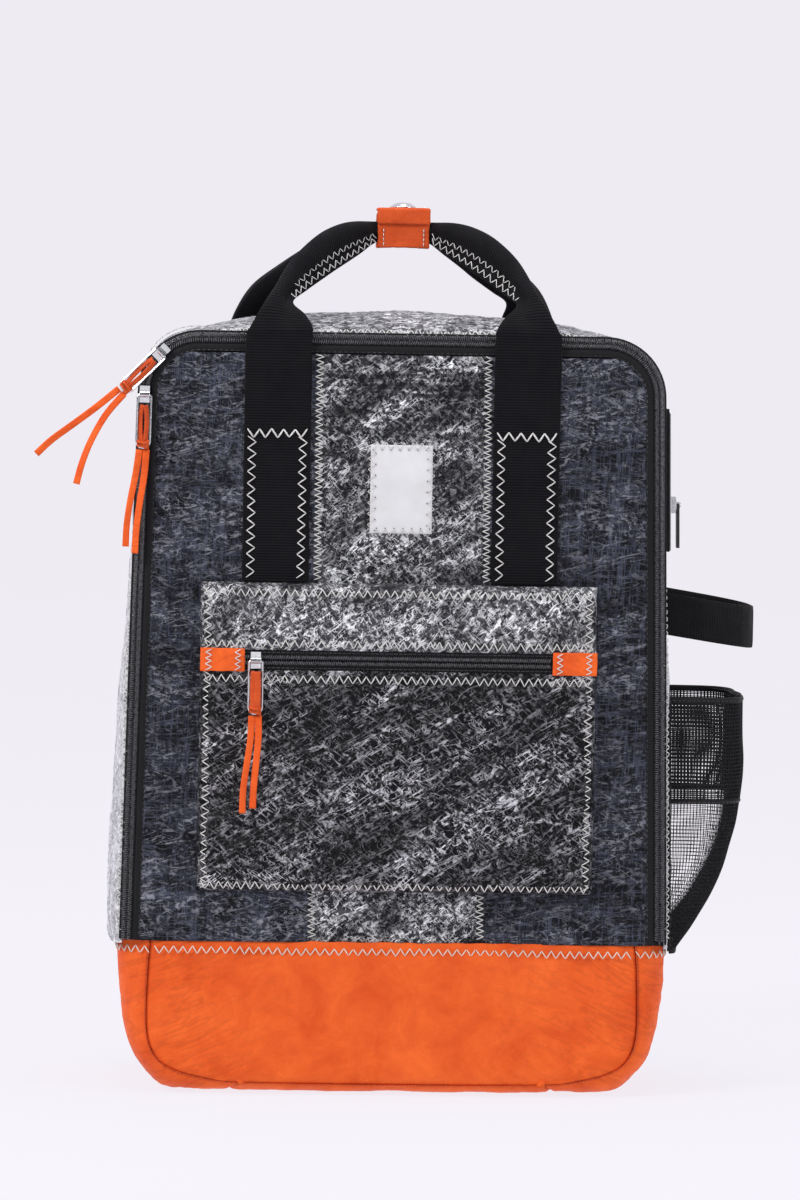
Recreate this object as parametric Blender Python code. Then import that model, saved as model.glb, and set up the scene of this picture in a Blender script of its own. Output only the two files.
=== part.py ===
"""Two-handled zip-front daypack: sailcloth body, leather base, front patch pocket, bottle pocket.

Frame: metres, +Z up, origin at the middle of the flat underside. The front faces -Y and the
shoulder straps are at +Y. The bottle pocket is on the +X side.
"""
import math

import bmesh
import bpy
from mathutils import Matrix, Vector

# ---------------------------------------------------------------- driving dimensions
GAP = 0.0003                 # clearance between neighbouring solids

BAG_HEIGHT = 0.460
BASE_WIDTH = 0.336           # outside width at the floor
TOP_WIDTH = 0.318            # outside width carried up to the top
BAG_DEPTH = 0.140
TOP_RADIUS = 0.038
BASE_RADIUS = 0.030

CLOTH = 0.0016               # sailcloth with its lining
GUSSET_WALL = 0.0020
LEATHER = 0.0022
WEBBING = 0.0016
WEBBING_WIDTH = 0.040

LEATHER_TOP = 0.092          # height of the leather base
FRONT_PANEL_INSET = 0.001

COIL_WIDTH = 0.0029          # one half of the main coil
COIL_HEIGHT = 0.0025
TAPE = 0.0010
TAPE_WIDTH = 0.0082          # flap-side tape
BINDING_WIDTH = 0.0053
BINDING_HEIGHT = 0.0020
SEAM_X = 0.0505              # half the width of the centre panel

POCKET_WIDTH = 0.238
POCKET_LOW = 0.123
POCKET_TOP = 0.3085
POCKET_DEPTH = 0.009
POCKET_WALL = 0.0012
POCKET_ZIP_Z = 0.2625
POCKET_ZIP_HEIGHT = 0.012
POCKET_COIL_HEIGHT = 0.005
POCKET_COIL_RISE = 0.0018     # coil of the pocket and of the side zip, proud of the tape
POCKET_SLIDER_X = -0.0858
POCKET_TAPE_SINK = 0.0004     # tape behind the pocket's face
TAB_WIDTH = 0.0270
TAB_HEIGHT = 0.0140

LABEL_WIDTH = 0.0372
LABEL_LOW = 0.339
LABEL_TOP = 0.392
LABEL_THICK = 0.0008

LEG_X = 0.0747               # middle of a front handle leg
REAR_LEG_X = 0.0830
LEG_FREE = 0.062             # the legs come free of the front this far below the top
GRIP_RISE = 0.061            # grips' middle above the top
GRIP_HEIGHT = 0.0180
GRIP_THICK = 0.0070
GRIP_Y = 0.0060              # each grip's distance from the middle plane

WRAP_WIDTH = 0.0320
WRAP_LEATHER = 0.0015
WRAP_X = 0.0018
SNAP_ROOM = 0.0012           # between the halves and the flap that snaps over them
SNAP_LIP = 0.0070
SNAP_CAP_RADIUS = 0.0078
SNAP_CAP_HEIGHT = 0.0035
SNAP_STUD_RADIUS = 0.0045

SLIDER_LENGTH = 0.0100
SLIDER_WIDTH = 0.0060
SLIDER_BASE = 0.0022
WIRE = 0.0015
WIRE_RISE = 0.0036           # height of the ring's bar above the slider's underside
RING_LENGTH = 0.032
CORNER_SLIDER_TURN = 135      # degrees round the top left corner, from +X
EDGE_SLIDER_DROP = 0.002      # second slider below the start of the left side's straight
THONG = 0.0038

BACK_PANEL = 0.0030
PAD_THICK = 0.012
PAD_WIDTH = 0.112
PAD_LOW = 0.060
PAD_TOP = 0.385
PAD_SPACING = 0.064          # middle of each back pad from the middle of the back
YOKE_WIDTH = 0.190
YOKE_DROP = 0.022            # yoke's top edge below the bag's top
YOKE_HEIGHT = 0.046

BOARD = 0.0020
BOARD_SHORT = 0.003           # board's room to the front and to the back
DIVIDER = 0.0050
DIVIDER_Y = 0.040
DIVIDER_TOP = 0.360

STRAP_WIDTH = 0.065
STRAP_THICK = 0.012
LOWER_WIDTH = 0.025
LOCK_WIDTH = 0.034
LOCK_LENGTH = 0.022
LOCK_THICK = 0.0045
LOCK_RIM = 0.0035
LOCK_BAR = 0.0022
ANCHOR_Z = 0.112
ANCHOR_INSET = 0.012
WING_HALF = 0.018             # half the height of the cloth wing at the anchor

NET_LOW = 0.088
CUFF_LOW = 0.178
CUFF_TOP = 0.241
NET_WALL = 0.0012
CUFF_WALL = 0.0016
NET_HALF_DEPTH = 0.058
NET_BULGE = 0.043
BOTTLE_STRAP_WIDTH = 0.025
BOTTLE_STRAP_Z = 0.292
BOTTLE_STRAP_DROP = 0.009
BOTTLE_STRAP_BULGE = 0.048
BOTTLE_STRAP_HALF_DEPTH = 0.050

SIDE_ZIP_Y = -0.052
SIDE_ZIP_LOW = 0.330
SIDE_ZIP_TOP = 0.416
SIDE_ZIP_TAPE = 0.022
SIDE_SLIDER_Z = 0.358
SIDE_PULL_LENGTH = 0.026
SIDE_PULL_RIM = 0.0012

# ---------------------------------------------------------------- worked-out values
FRONT_Y = -BAG_DEPTH / 2
BACK_Y = BAG_DEPTH / 2
TAPER = math.atan((BASE_WIDTH - TOP_WIDTH) / 2 / BAG_HEIGHT)
COIL_OUTER = GUSSET_WALL + GAP                   # insets from the outline, body side first
COIL_MIDDLE = COIL_OUTER + COIL_WIDTH
COIL_INNER = COIL_MIDDLE + GAP + COIL_WIDTH
BINDING_IN = COIL_INNER + GAP + BINDING_WIDTH
PANEL_IN = BINDING_IN + GAP
FLAP_LOW = LEATHER_TOP + GAP
CLOTH_FACE = FRONT_Y - CLOTH                     # front face of the flap's panels
COIL_FACE = FRONT_Y - COIL_HEIGHT
POCKET_FACE = CLOTH_FACE - GAP - POCKET_DEPTH
POCKET_COIL_FACE = POCKET_FACE - POCKET_COIL_RISE
GRIP_Z = BAG_HEIGHT + GRIP_RISE
LEG_SEWN_TOP = BAG_HEIGHT - LEG_FREE
YOKE_TOP = BAG_HEIGHT - YOKE_DROP
HINGE = Vector((0, FRONT_Y - LEATHER - GAP - 0.001, LEATHER_TOP + GAP / 2))

# ---------------------------------------------------------------- materials
COLOURS = {
    "leather": ((0.80, 0.13, 0.025), 0.75, 0.0),
    "sailcloth_dark": ((0.025, 0.030, 0.038), 0.40, 0.0),
    "sailcloth_grey": ((0.07, 0.075, 0.085), 0.32, 0.0),
    "sailcloth_band": ((0.15, 0.155, 0.17), 0.35, 0.0),
    "webbing": ((0.010, 0.010, 0.013), 0.70, 0.0),
    "zip_black": ((0.008, 0.008, 0.010), 0.45, 0.0),
    "net": ((0.02, 0.02, 0.022), 0.60, 0.0),
    "metal": ((0.72, 0.72, 0.74), 0.22, 1.0),
    "label": ((0.85, 0.85, 0.84), 0.65, 0.0),
    "plastic": ((0.012, 0.012, 0.014), 0.45, 0.0),
    "pad": ((0.03, 0.03, 0.034), 0.85, 0.0),
    "board": ((0.30, 0.30, 0.30), 0.60, 0.0),
}


def material(name):
    """The named material, made once."""
    found = bpy.data.materials.get(name)
    if found:
        return found
    colour, roughness, metallic = COLOURS[name]
    made = bpy.data.materials.new(name)
    made.use_nodes = True
    shader = made.node_tree.nodes["Principled BSDF"]
    shader.inputs["Base Color"].default_value = (*colour, 1)
    shader.inputs["Roughness"].default_value = roughness
    shader.inputs["Metallic"].default_value = metallic
    return made


# ---------------------------------------------------------------- building helpers
def empty(name, place, parent=None):
    """A joint's empty at its axis."""
    made = bpy.data.objects.new(name, None)
    bpy.context.collection.objects.link(made)
    made.empty_display_size = 0.02
    made.matrix_world = Matrix.Translation(place)
    join(made, parent)
    return made


def join(child, parent):
    """Parent child where it stands."""
    if parent:
        bpy.context.view_layer.update()
        child.parent = parent
        child.matrix_parent_inverse = parent.matrix_world.inverted()


def finish(name, bm, material_name, parent, frame=None, smooth=False):
    """Turn bm, in world metres, into an object whose own frame is given."""
    frame = frame or Matrix()
    bmesh.ops.recalc_face_normals(bm, faces=bm.faces)
    bm.transform(frame.inverted())
    mesh = bpy.data.meshes.new(name)
    bm.to_mesh(mesh)
    bm.free()
    mesh.materials.append(material(material_name))
    if smooth:
        mesh.shade_smooth()
        mesh.set_sharp_from_angle(angle=math.radians(40))
    made = bpy.data.objects.new(name, mesh)
    bpy.context.collection.objects.link(made)
    made.matrix_world = frame
    join(made, parent)
    return made


def prism(name, outline, front, back, material_name, parent=None, frame=None):
    """Extrude an outline of (x, z) points along Y, from front to back."""
    bm = bmesh.new()
    face = bm.faces.new([bm.verts.new((x, front, z)) for x, z in outline])
    grown = bmesh.ops.extrude_face_region(bm, geom=[face])
    moved = [v for v in grown["geom"] if isinstance(v, bmesh.types.BMVert)]
    bmesh.ops.translate(bm, verts=moved, vec=(0, back - front, 0))
    place = frame or Matrix.Translation((0, front, 0))
    return finish(name, bm, material_name, parent, place)


def loft(name, rings, material_name, parent=None, frame=None, smooth=False):
    """Join rings of equal length into one closed body with flat ends."""
    bm = bmesh.new()
    loops = [[bm.verts.new(p) for p in ring] for ring in rings]
    count = len(loops[0])
    for near, far in zip(loops, loops[1:]):
        for i in range(count):
            j = (i + 1) % count
            bm.faces.new((near[i], near[j], far[j], far[i]))
    bm.faces.new(loops[0])
    bm.faces.new(loops[-1])
    place = frame or Matrix.Translation(sum(rings[0], Vector()) / count)
    return finish(name, bm, material_name, parent, place, smooth)


def smooth_route(points, steps):
    """A Catmull-Rom curve through the points, with steps stretches between each two."""
    points = [Vector(p) for p in points]
    ends = [points[0] * 2 - points[1]] + points + [points[-1] * 2 - points[-2]]
    route = []
    for a, b, c, d in zip(ends, ends[1:], ends[2:], ends[3:]):
        for i in range(steps):
            t = i / steps
            route.append(0.5 * (2 * b + (c - a) * t + (2 * a - 5 * b + 4 * c - d) * t ** 2
                                + (3 * b - a - 3 * c + d) * t ** 3))
    return route + [points[-1]]


def strap(name, route, face, sizes, material_name, parent=None, sides=4):
    """A strip along a route. face(i) is its outward side; sizes(share) its (width, thickness)."""
    rings = []
    last = len(route) - 1
    for i, point in enumerate(route):
        along = (route[min(i + 1, last)] - route[max(i - 1, 0)]).normalized()
        out = face(i / last)
        out = (out - along * out.dot(along)).normalized()
        across = along.cross(out)
        width, thick = sizes(i / last)
        ring = []
        for k in range(sides):
            angle = 2 * math.pi * (k + 0.5) / sides
            reach = 1 / math.cos(math.pi / sides) if sides == 4 else 1
            u, v = math.cos(angle) * reach, math.sin(angle) * reach
            ring.append(point + across * (u * width / 2) + out * (v * thick / 2))
        rings.append(ring)
    return loft(name, rings, material_name, parent, smooth=sides > 4)


def tube(name, points, diameter, material_name, parent=None, cyclic=False, frame=None):
    """A round cord or wire through points, given in the object's own frame."""
    curve = bpy.data.curves.new(name, "CURVE")
    curve.dimensions = "3D"
    curve.bevel_depth = diameter / 2
    curve.bevel_resolution = 2
    curve.use_fill_caps = not cyclic
    spline = curve.splines.new("POLY")
    spline.points.add(len(points) - 1)
    for target, point in zip(spline.points, points):
        target.co = (*point, 1)
    spline.use_cyclic_u = cyclic
    curve.materials.append(material(material_name))
    made = bpy.data.objects.new(name, curve)
    bpy.context.collection.objects.link(made)
    made.matrix_world = frame or Matrix()
    join(made, parent)
    return made


def shell(name, grid, thickness, material_name, parent=None):
    """A sheet over a grid of points, thickened inwards on its own side."""
    bm = bmesh.new()
    rows = [[bm.verts.new(p) for p in row] for row in grid]
    for low, high in zip(rows, rows[1:]):
        for i in range(len(low) - 1):
            bm.faces.new((low[i], low[i + 1], high[i + 1], high[i]))
    mesh = bpy.data.meshes.new(name)
    bm.to_mesh(mesh)
    bm.free()
    mesh.materials.append(material(material_name))
    mesh.shade_smooth()
    made = bpy.data.objects.new(name, mesh)
    bpy.context.collection.objects.link(made)
    wall = made.modifiers.new("wall", "SOLIDIFY")
    wall.thickness = thickness
    wall.offset = -1
    wall.use_even_offset = True
    join(made, parent)
    return made


# ---------------------------------------------------------------- outlines, as (x, z) points
def edge_x(z, inset=0.0):
    """Half the bag's width at height z, measured inset from its outer face."""
    return BASE_WIDTH / 2 - z * math.tan(TAPER) - inset / math.cos(TAPER)


def corner(centre_z, radius, inset, start, end, steps=7):
    """The left-hand arc round a corner whose outer radius is given."""
    centre_x = -edge_x(centre_z, radius)
    turn = [start + (end - start) * i / (steps - 1) for i in range(steps)]
    reach = radius - inset
    return [(centre_x + reach * math.cos(t), centre_z + reach * math.sin(t)) for t in turn]


def mirrored(points):
    return [(-x, z) for x, z in reversed(points)]


def arch(inset, low):
    """Left side, over the top and down the right side, from height low."""
    arc = corner(BAG_HEIGHT - TOP_RADIUS, TOP_RADIUS, inset, math.pi - TAPER, math.pi / 2)
    left = [(-edge_x(low, inset), low)] + arc
    return left + mirrored(left)


def trough(inset, top):
    """Left side, under the bottom and up the right side, to height top."""
    arc = corner(BASE_RADIUS, BASE_RADIUS, inset, math.pi - TAPER, 1.5 * math.pi)
    left = [(-edge_x(top, inset), top)] + arc
    return left + mirrored(left)


def box(x0, x1, z0, z1):
    return [(x0, z0), (x1, z0), (x1, z1), (x0, z1)]


# ---------------------------------------------------------------- body
def build_body():
    """The bag's shell: leather base, sailcloth gusset, back and what stiffens it."""
    prism("base_gusset", trough(0, LEATHER_TOP) + trough(LEATHER, LEATHER_TOP)[::-1],
          FRONT_Y, BACK_Y, "leather")
    prism("base_front_panel", trough(FRONT_PANEL_INSET, LEATHER_TOP),
          FRONT_Y - GAP - LEATHER, FRONT_Y - GAP, "leather")
    prism("side_gusset", arch(0, FLAP_LOW) + arch(GUSSET_WALL, FLAP_LOW)[::-1],
          FRONT_Y, BACK_Y, "sailcloth_dark")
    back = arch(0, LEATHER_TOP) + trough(0, LEATHER_TOP)[-2:0:-1]
    prism("back_panel", back, BACK_Y + GAP, BACK_Y + GAP + BACK_PANEL, "sailcloth_dark")
    board_low = LEATHER + GAP
    half = edge_x(BASE_RADIUS, BASE_RADIUS)
    prism("base_board", box(-half, half, board_low, board_low + BOARD),
          FRONT_Y + BOARD_SHORT, BACK_Y - BOARD_SHORT, "board")
    foot = board_low + BOARD + GAP
    half = edge_x(DIVIDER_TOP, GUSSET_WALL) - GAP
    low_half = edge_x(BASE_RADIUS, BASE_RADIUS)
    rise = foot + BASE_RADIUS
    prism("laptop_divider",
          [(-low_half, foot), (low_half, foot), (half, rise), (half, DIVIDER_TOP),
           (-half, DIVIDER_TOP), (-half, rise)],
          DIVIDER_Y, DIVIDER_Y + DIVIDER, "pad")
    face = BACK_Y + 2 * GAP + BACK_PANEL
    for side, name in ((-1, "left"), (1, "right")):
        middle = side * PAD_SPACING
        prism("back_pad_" + name,
              box(middle - PAD_WIDTH / 2, middle + PAD_WIDTH / 2, PAD_LOW, PAD_TOP),
              face, face + PAD_THICK, "pad")
    prism("back_yoke", box(-YOKE_WIDTH / 2, YOKE_WIDTH / 2, YOKE_TOP - YOKE_HEIGHT, YOKE_TOP),
          face, face + WEBBING, "webbing")


def band(low_inset, high_inset):
    """An arched band between two insets, standing on the leather."""
    return arch(low_inset, FLAP_LOW) + arch(high_inset, FLAP_LOW)[::-1]


def build_main_zip(flap):
    """Both halves of the arched zip: one sewn to the gusset, one to the flap."""
    tape = FRONT_Y + GAP
    prism("zip_tape_body", band(COIL_OUTER, COIL_MIDDLE), tape, tape + TAPE, "zip_black")
    prism("zip_coil_body", band(COIL_OUTER, COIL_MIDDLE), COIL_FACE, FRONT_Y, "zip_black")
    inner = COIL_MIDDLE + GAP
    prism("zip_tape_flap", band(inner, inner + TAPE_WIDTH), tape, tape + TAPE, "zip_black", flap)
    prism("zip_coil_flap", band(inner, COIL_INNER), COIL_FACE, FRONT_Y, "zip_black", flap)
    prism("flap_binding", band(COIL_INNER + GAP, BINDING_IN), FRONT_Y - BINDING_HEIGHT, FRONT_Y,
          "webbing", flap)


def build_flap(flap):
    """The opening front: three sailcloth panels, the label and the patch pocket."""
    outline = arch(PANEL_IN, FLAP_LOW)
    cut = SEAM_X + GAP / 2
    top = BAG_HEIGHT - PANEL_IN
    left = [p for p in outline if p[0] < -cut] + [(-cut, top), (-cut, FLAP_LOW)]
    prism("flap_left", left, CLOTH_FACE, FRONT_Y, "sailcloth_dark", flap)
    prism("flap_right", mirrored(left), CLOTH_FACE, FRONT_Y, "sailcloth_dark", flap)
    middle = SEAM_X - GAP / 2
    prism("flap_centre", box(-middle, middle, FLAP_LOW, top), CLOTH_FACE, FRONT_Y,
          "sailcloth_grey", flap)
    face = CLOTH_FACE - GAP
    prism("label", box(-LABEL_WIDTH / 2, LABEL_WIDTH / 2, LABEL_LOW, LABEL_TOP),
          face - LABEL_THICK, face, "label", flap)


def tray(name, low, high, open_side, material_name, parent):
    """A shallow sewn tray, open at the back and on one of its long sides."""
    half = POCKET_WIDTH / 2
    back = CLOTH_FACE - GAP
    bm = bmesh.new()
    bmesh.ops.create_cube(bm, size=1)
    bmesh.ops.scale(bm, verts=bm.verts, vec=(2 * half, back - POCKET_FACE, high - low))
    place = Matrix.Translation((0, (back + POCKET_FACE) / 2, (low + high) / 2))
    gone = [f for f in bm.faces if f.normal.y > 0.5 or f.normal.z * open_side > 0.5]
    bmesh.ops.delete(bm, geom=gone, context="FACES_ONLY")
    mesh = bpy.data.meshes.new(name)
    bm.to_mesh(mesh)
    bm.free()
    mesh.materials.append(material(material_name))
    made = bpy.data.objects.new(name, mesh)
    bpy.context.collection.objects.link(made)
    made.matrix_world = place
    wall = made.modifiers.new("wall", "SOLIDIFY")
    wall.thickness = POCKET_WALL
    wall.offset = -1
    wall.use_even_offset = True
    join(made, parent)
    return made


def build_pocket(flap):
    """The patch pocket's two cloth parts, its zip and the leather tabs at the zip's ends."""
    zip_low = POCKET_ZIP_Z - POCKET_ZIP_HEIGHT / 2
    zip_top = POCKET_ZIP_Z + POCKET_ZIP_HEIGHT / 2
    tray("pocket_lower", POCKET_LOW, zip_low, 1, "sailcloth_grey", flap)
    tray("pocket_band", zip_top, POCKET_TOP, -1, "sailcloth_band", flap)
    half = POCKET_WIDTH / 2
    front = POCKET_FACE + POCKET_TAPE_SINK
    prism("pocket_zip_tape", box(-half, half, zip_low + GAP, zip_top - GAP), front, front + TAPE,
          "zip_black", flap)
    coil = half - TAB_WIDTH - GAP
    prism("pocket_zip_coil",
          box(-coil, coil, POCKET_ZIP_Z - POCKET_COIL_HEIGHT / 2,
              POCKET_ZIP_Z + POCKET_COIL_HEIGHT / 2),
          POCKET_COIL_FACE, front - GAP, "zip_black", flap)
    for side, name in ((-1, "left"), (1, "right")):
        ends = sorted((side * half, side * (half - TAB_WIDTH)))
        prism("pocket_tab_" + name,
              box(*ends, POCKET_ZIP_Z - TAB_HEIGHT / 2, POCKET_ZIP_Z + TAB_HEIGHT / 2),
              POCKET_FACE - GAP - POCKET_WALL, POCKET_FACE - GAP, "leather", flap)


# ---------------------------------------------------------------- handles
def handle_route(leg_x, face_y, sign):
    """One handle's middle line, from the foot of its left leg to the foot of its right leg.

    sign is -1 for the front handle and 1 for the rear one; face_y is the plane it is sewn to.
    """
    clear = sign * (COIL_HEIGHT - CLOTH + WEBBING) if sign < 0 else 0
    sewn_y = face_y + sign * WEBBING / 2
    free_y = sewn_y + clear
    left = [
        (-leg_x, sewn_y, POCKET_TOP + GAP),
        (-leg_x, sewn_y, LEG_SEWN_TOP),
        (-leg_x + 0.001, free_y, LEG_SEWN_TOP + 0.030),
        (-leg_x + 0.003, free_y, BAG_HEIGHT + 0.003),
        (-leg_x * 0.90, sign * 0.064, BAG_HEIGHT + 0.021),
        (-leg_x * 0.69, sign * 0.042, BAG_HEIGHT + 0.043),
        (-leg_x * 0.47, sign * 0.020, GRIP_Z - 0.0045),
        (-leg_x * 0.31, sign * (GRIP_Y + 0.0015), GRIP_Z - 0.0006),
        (-WRAP_WIDTH * 0.62, sign * GRIP_Y, GRIP_Z),
        (-WRAP_WIDTH * 0.35, sign * GRIP_Y, GRIP_Z),
    ]
    right = [(-x, y, z) for x, y, z in reversed(left)]
    return smooth_route(left + right, 2)


def handle_sizes(share):
    """Flat webbing at the feet, folded in two and rolled towards the middle."""
    leg, grip = 0.26, 0.36
    reach = 0.5 - abs(share - 0.5)
    fold = min(max((reach - leg) / (grip - leg), 0), 1)
    width = WEBBING_WIDTH + (GRIP_HEIGHT - WEBBING_WIDTH) * fold
    return width, WEBBING + (GRIP_THICK - WEBBING) * fold


def build_handles(flap):
    """Two webbing handles: the front one is sewn to the flap, the rear one to the back."""
    for name, leg_x, face, sign, parent in (
            ("front_handle", LEG_X, CLOTH_FACE - GAP, -1, flap),
            ("rear_handle", REAR_LEG_X, BACK_Y + 2 * GAP + BACK_PANEL, 1, None)):
        route = handle_route(leg_x, face, sign)
        if sign > 0:
            route = [p for p in route if p.z > YOKE_TOP + GAP]
        strap(name, route, lambda share, s=sign: Vector((0, s, 0)), handle_sizes, "webbing",
              parent)


def wrap_half(name, sign, parent):
    """One half of the leather wrap, open towards the middle plane."""
    inner_y = GRIP_Y + GRIP_THICK / 2 + GAP
    inner_z = GRIP_HEIGHT / 2 + GAP
    outer_y, outer_z = inner_y + WRAP_LEATHER, inner_z + WRAP_LEATHER
    lip = GAP
    profile = [(lip, -outer_z), (outer_y, -outer_z), (outer_y, outer_z), (lip, outer_z),
               (lip, inner_z), (inner_y, inner_z), (inner_y, -inner_z), (lip, -inner_z)]
    rings = [[Vector((x, sign * y, GRIP_Z + z)) for y, z in profile]
             for x in (WRAP_X - WRAP_WIDTH / 2, WRAP_X + WRAP_WIDTH / 2)]
    loft(name, rings, "leather", parent)
    return outer_y, outer_z


def disc(name, centre, radius, height, dome, material_name, parent):
    """A low round cap standing on centre, its rim rounded over by dome."""
    rings = []
    for share in (0, 0.4, 0.75, 1):
        lift = height * math.sin(share * math.pi / 2)
        reach = radius * (1 - dome * (1 - math.cos(share * math.pi / 2)))
        rings.append([centre + Vector((reach * math.cos(a * math.pi / 8),
                                       reach * math.sin(a * math.pi / 8), lift))
                      for a in range(16)])
    loft(name, rings, material_name, parent, Matrix.Translation(centre), smooth=True)


def build_wrap(flap):
    """A leather half on each grip, and the flap of the front half that snaps to the rear one."""
    outer_y, outer_z = wrap_half("wrap_front_half", -1, flap)
    wrap_half("wrap_rear_half", 1, None)
    top = GRIP_Z + outer_z
    low = top + SNAP_ROOM
    front = -outer_y - GAP
    hinge = empty("snap_flap_axis", Vector((WRAP_X, front, top - SNAP_LIP)), flap)
    profile = [(outer_y, low), (outer_y, low + WRAP_LEATHER),
               (front - WRAP_LEATHER, low + WRAP_LEATHER), (front - WRAP_LEATHER, top - SNAP_LIP),
               (front, top - SNAP_LIP), (front, low)]
    half = WRAP_WIDTH / 2
    rings = [[Vector((x, y, z)) for y, z in profile] for x in (WRAP_X - half, WRAP_X + half)]
    loft("snap_flap", rings, "leather", hinge, Matrix.Translation(hinge.matrix_world.translation))
    cap = Vector((WRAP_X, GRIP_Y / 2, low + WRAP_LEATHER + GAP))
    disc("snap_cap", cap, SNAP_CAP_RADIUS, SNAP_CAP_HEIGHT, 0.45, "metal", hinge)
    stud = Vector((WRAP_X, SNAP_STUD_RADIUS + 2 * GAP, top + GAP))
    disc("snap_stud", stud, SNAP_STUD_RADIUS, SNAP_ROOM - 2 * GAP, 0.1, "metal", None)


# ---------------------------------------------------------------- sliders and pulls
def local_frame(place, along, out):
    """A frame with x along, z out of the cloth, at place."""
    across = out.cross(along)
    turned = Matrix((along, across, out)).transposed().to_4x4()
    return Matrix.Translation(place) @ turned


def slider(name, frame, parent):
    """A slider whose bail holds the ring's bar at the frame's origin."""
    half = SLIDER_LENGTH / 2
    hold = WIRE / 2 + GAP
    rim = hold + 0.0009
    slot = 0.0005
    steps = 6
    low = -WIRE_RISE
    lid = low + SLIDER_BASE
    bite = math.asin(slot / hold)
    outer_bite = math.asin(slot / rim)
    inner = [math.pi / 2 - bite - (2 * math.pi - 2 * bite) * i / (2 * steps)
             for i in range(2 * steps + 1)]
    outer_right = math.asin(max((lid + 0.0004) / rim, -0.88))
    rise = [outer_right + (math.pi / 2 - outer_bite - outer_right) * i / steps
            for i in range(steps + 1)]
    right = [(rim * math.cos(a), rim * math.sin(a)) for a in rise]
    hole = [(hold * math.cos(a), hold * math.sin(a)) for a in inner]
    left = [(-x, z) for x, z in reversed(right)]
    profile = [(-half, low), (half, low), (half, lid)] + right + hole + left + [(-half, lid)]
    rings = [[frame @ Vector((x, y, z)) for x, z in profile]
             for y in (-SLIDER_WIDTH / 2, SLIDER_WIDTH / 2)]
    loft(name, rings, "metal", parent, frame)


def ring(name, frame, parent):
    """A long wire loop whose upper bar lies on the frame's y axis and which reaches along x."""
    half = SLIDER_WIDTH / 2 + GAP + WIRE / 2
    bend = 0.0012
    far = RING_LENGTH - half
    points = [(0, -half + bend, 0), (0, half - bend, 0), (bend, half, 0), (far, half, 0)]
    for i in range(1, 8):
        angle = math.pi / 2 - math.pi * i / 8
        points.append((far + half * math.cos(angle), half * math.sin(angle), 0))
    points += [(far, -half, 0), (bend, -half, 0)]
    tube(name, points, WIRE, "metal", parent, cyclic=True, frame=frame)


def build_pull(name, place, along, out, parent, body=None):
    """A slider, the empty its ring turns about, the ring and its thong's two tails."""
    frame = local_frame(place, along, out)
    body = body or empty(name + "_slide_axis", place, parent)
    slider(name + "_slider", frame, body)
    turn = empty(name + "_ring_axis", place, body)
    ring(name + "_ring", frame, turn)
    end = place + along * RING_LENGTH
    for tail in (name + "_tail_outer", name + "_tail_inner"):
        route = smooth_route([end + Vector(offset) for offset in TAIL_ROUTES[tail]], 3)
        tube(tail, route, THONG, "leather", turn)


# Routes of the free thong tails, measured from the middle of their ring's far end
TAIL_ROUTES = {
    "corner_tail_outer": [
        (-0.0022, 0.0000, 0.0006), (-0.0155, -0.0006, -0.0105), (-0.0300, -0.0021, -0.0215),
        (-0.0420, -0.0031, -0.0305), (-0.0509, -0.0036, -0.0390)],
    "corner_tail_inner": [
        (0.0008, 0.0000, -0.0023), (-0.0095, -0.0006, -0.0145), (-0.0180, -0.0021, -0.0295),
        (-0.0235, -0.0031, -0.0435), (-0.0269, -0.0036, -0.0565)],
    "side_edge_tail_outer": [
        (-0.0020, 0.0000, -0.0010), (-0.0039, -0.0006, -0.0150), (-0.0069, -0.0016, -0.0310),
        (-0.0089, -0.0021, -0.0460), (-0.0094, -0.0021, -0.0590)],
    "side_edge_tail_inner": [
        (0.0021, 0.0000, -0.0010), (0.0011, -0.0006, -0.0160), (-0.0014, -0.0016, -0.0330),
        (-0.0032, -0.0021, -0.0490), (-0.0039, -0.0021, -0.0630)],
    "pocket_tail_outer": [
        (-0.0020, 0.0000, -0.0011), (-0.0024, -0.0004, -0.0145), (-0.0045, -0.0009, -0.0305),
        (-0.0064, -0.0014, -0.0455), (-0.0067, -0.0014, -0.0595)],
    "pocket_tail_inner": [
        (0.0020, 0.0000, -0.0011), (0.0022, -0.0004, -0.0145), (0.0010, -0.0009, -0.0305),
        (-0.0002, -0.0014, -0.0445), (-0.0006, -0.0014, -0.0565)],
}


def build_pulls(flap):
    """The two sliders of the main zip and the pocket's, each with a ring and a thong."""
    out = Vector((0, -1, 0))
    middle = COIL_MIDDLE + GAP / 2
    wire_y = COIL_FACE - GAP - WIRE_RISE
    centre_z = BAG_HEIGHT - TOP_RADIUS
    centre_x = -edge_x(centre_z, TOP_RADIUS)
    reach = TOP_RADIUS - middle
    turn = math.radians(CORNER_SLIDER_TURN)
    corner_axis = empty("corner_slider_axis", Vector((centre_x, wire_y, centre_z)), flap)
    corner_place = Vector((centre_x + reach * math.cos(turn), wire_y,
                           centre_z + reach * math.sin(turn)))
    corner_along = Vector((-math.sin(turn), 0, math.cos(turn)))
    edge_z = centre_z - EDGE_SLIDER_DROP
    edge_place = Vector((-edge_x(edge_z, middle), wire_y, edge_z))
    edge_along = Vector((-math.sin(TAPER), 0, -math.cos(TAPER)))
    pocket_place = Vector((POCKET_SLIDER_X, POCKET_COIL_FACE - GAP - WIRE_RISE, POCKET_ZIP_Z))
    build_pull("corner", corner_place, corner_along, out, flap, corner_axis)
    build_pull("side_edge", edge_place, edge_along, out, flap)
    build_pull("pocket", pocket_place, Vector((0, 0, -1)), out, flap)


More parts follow.
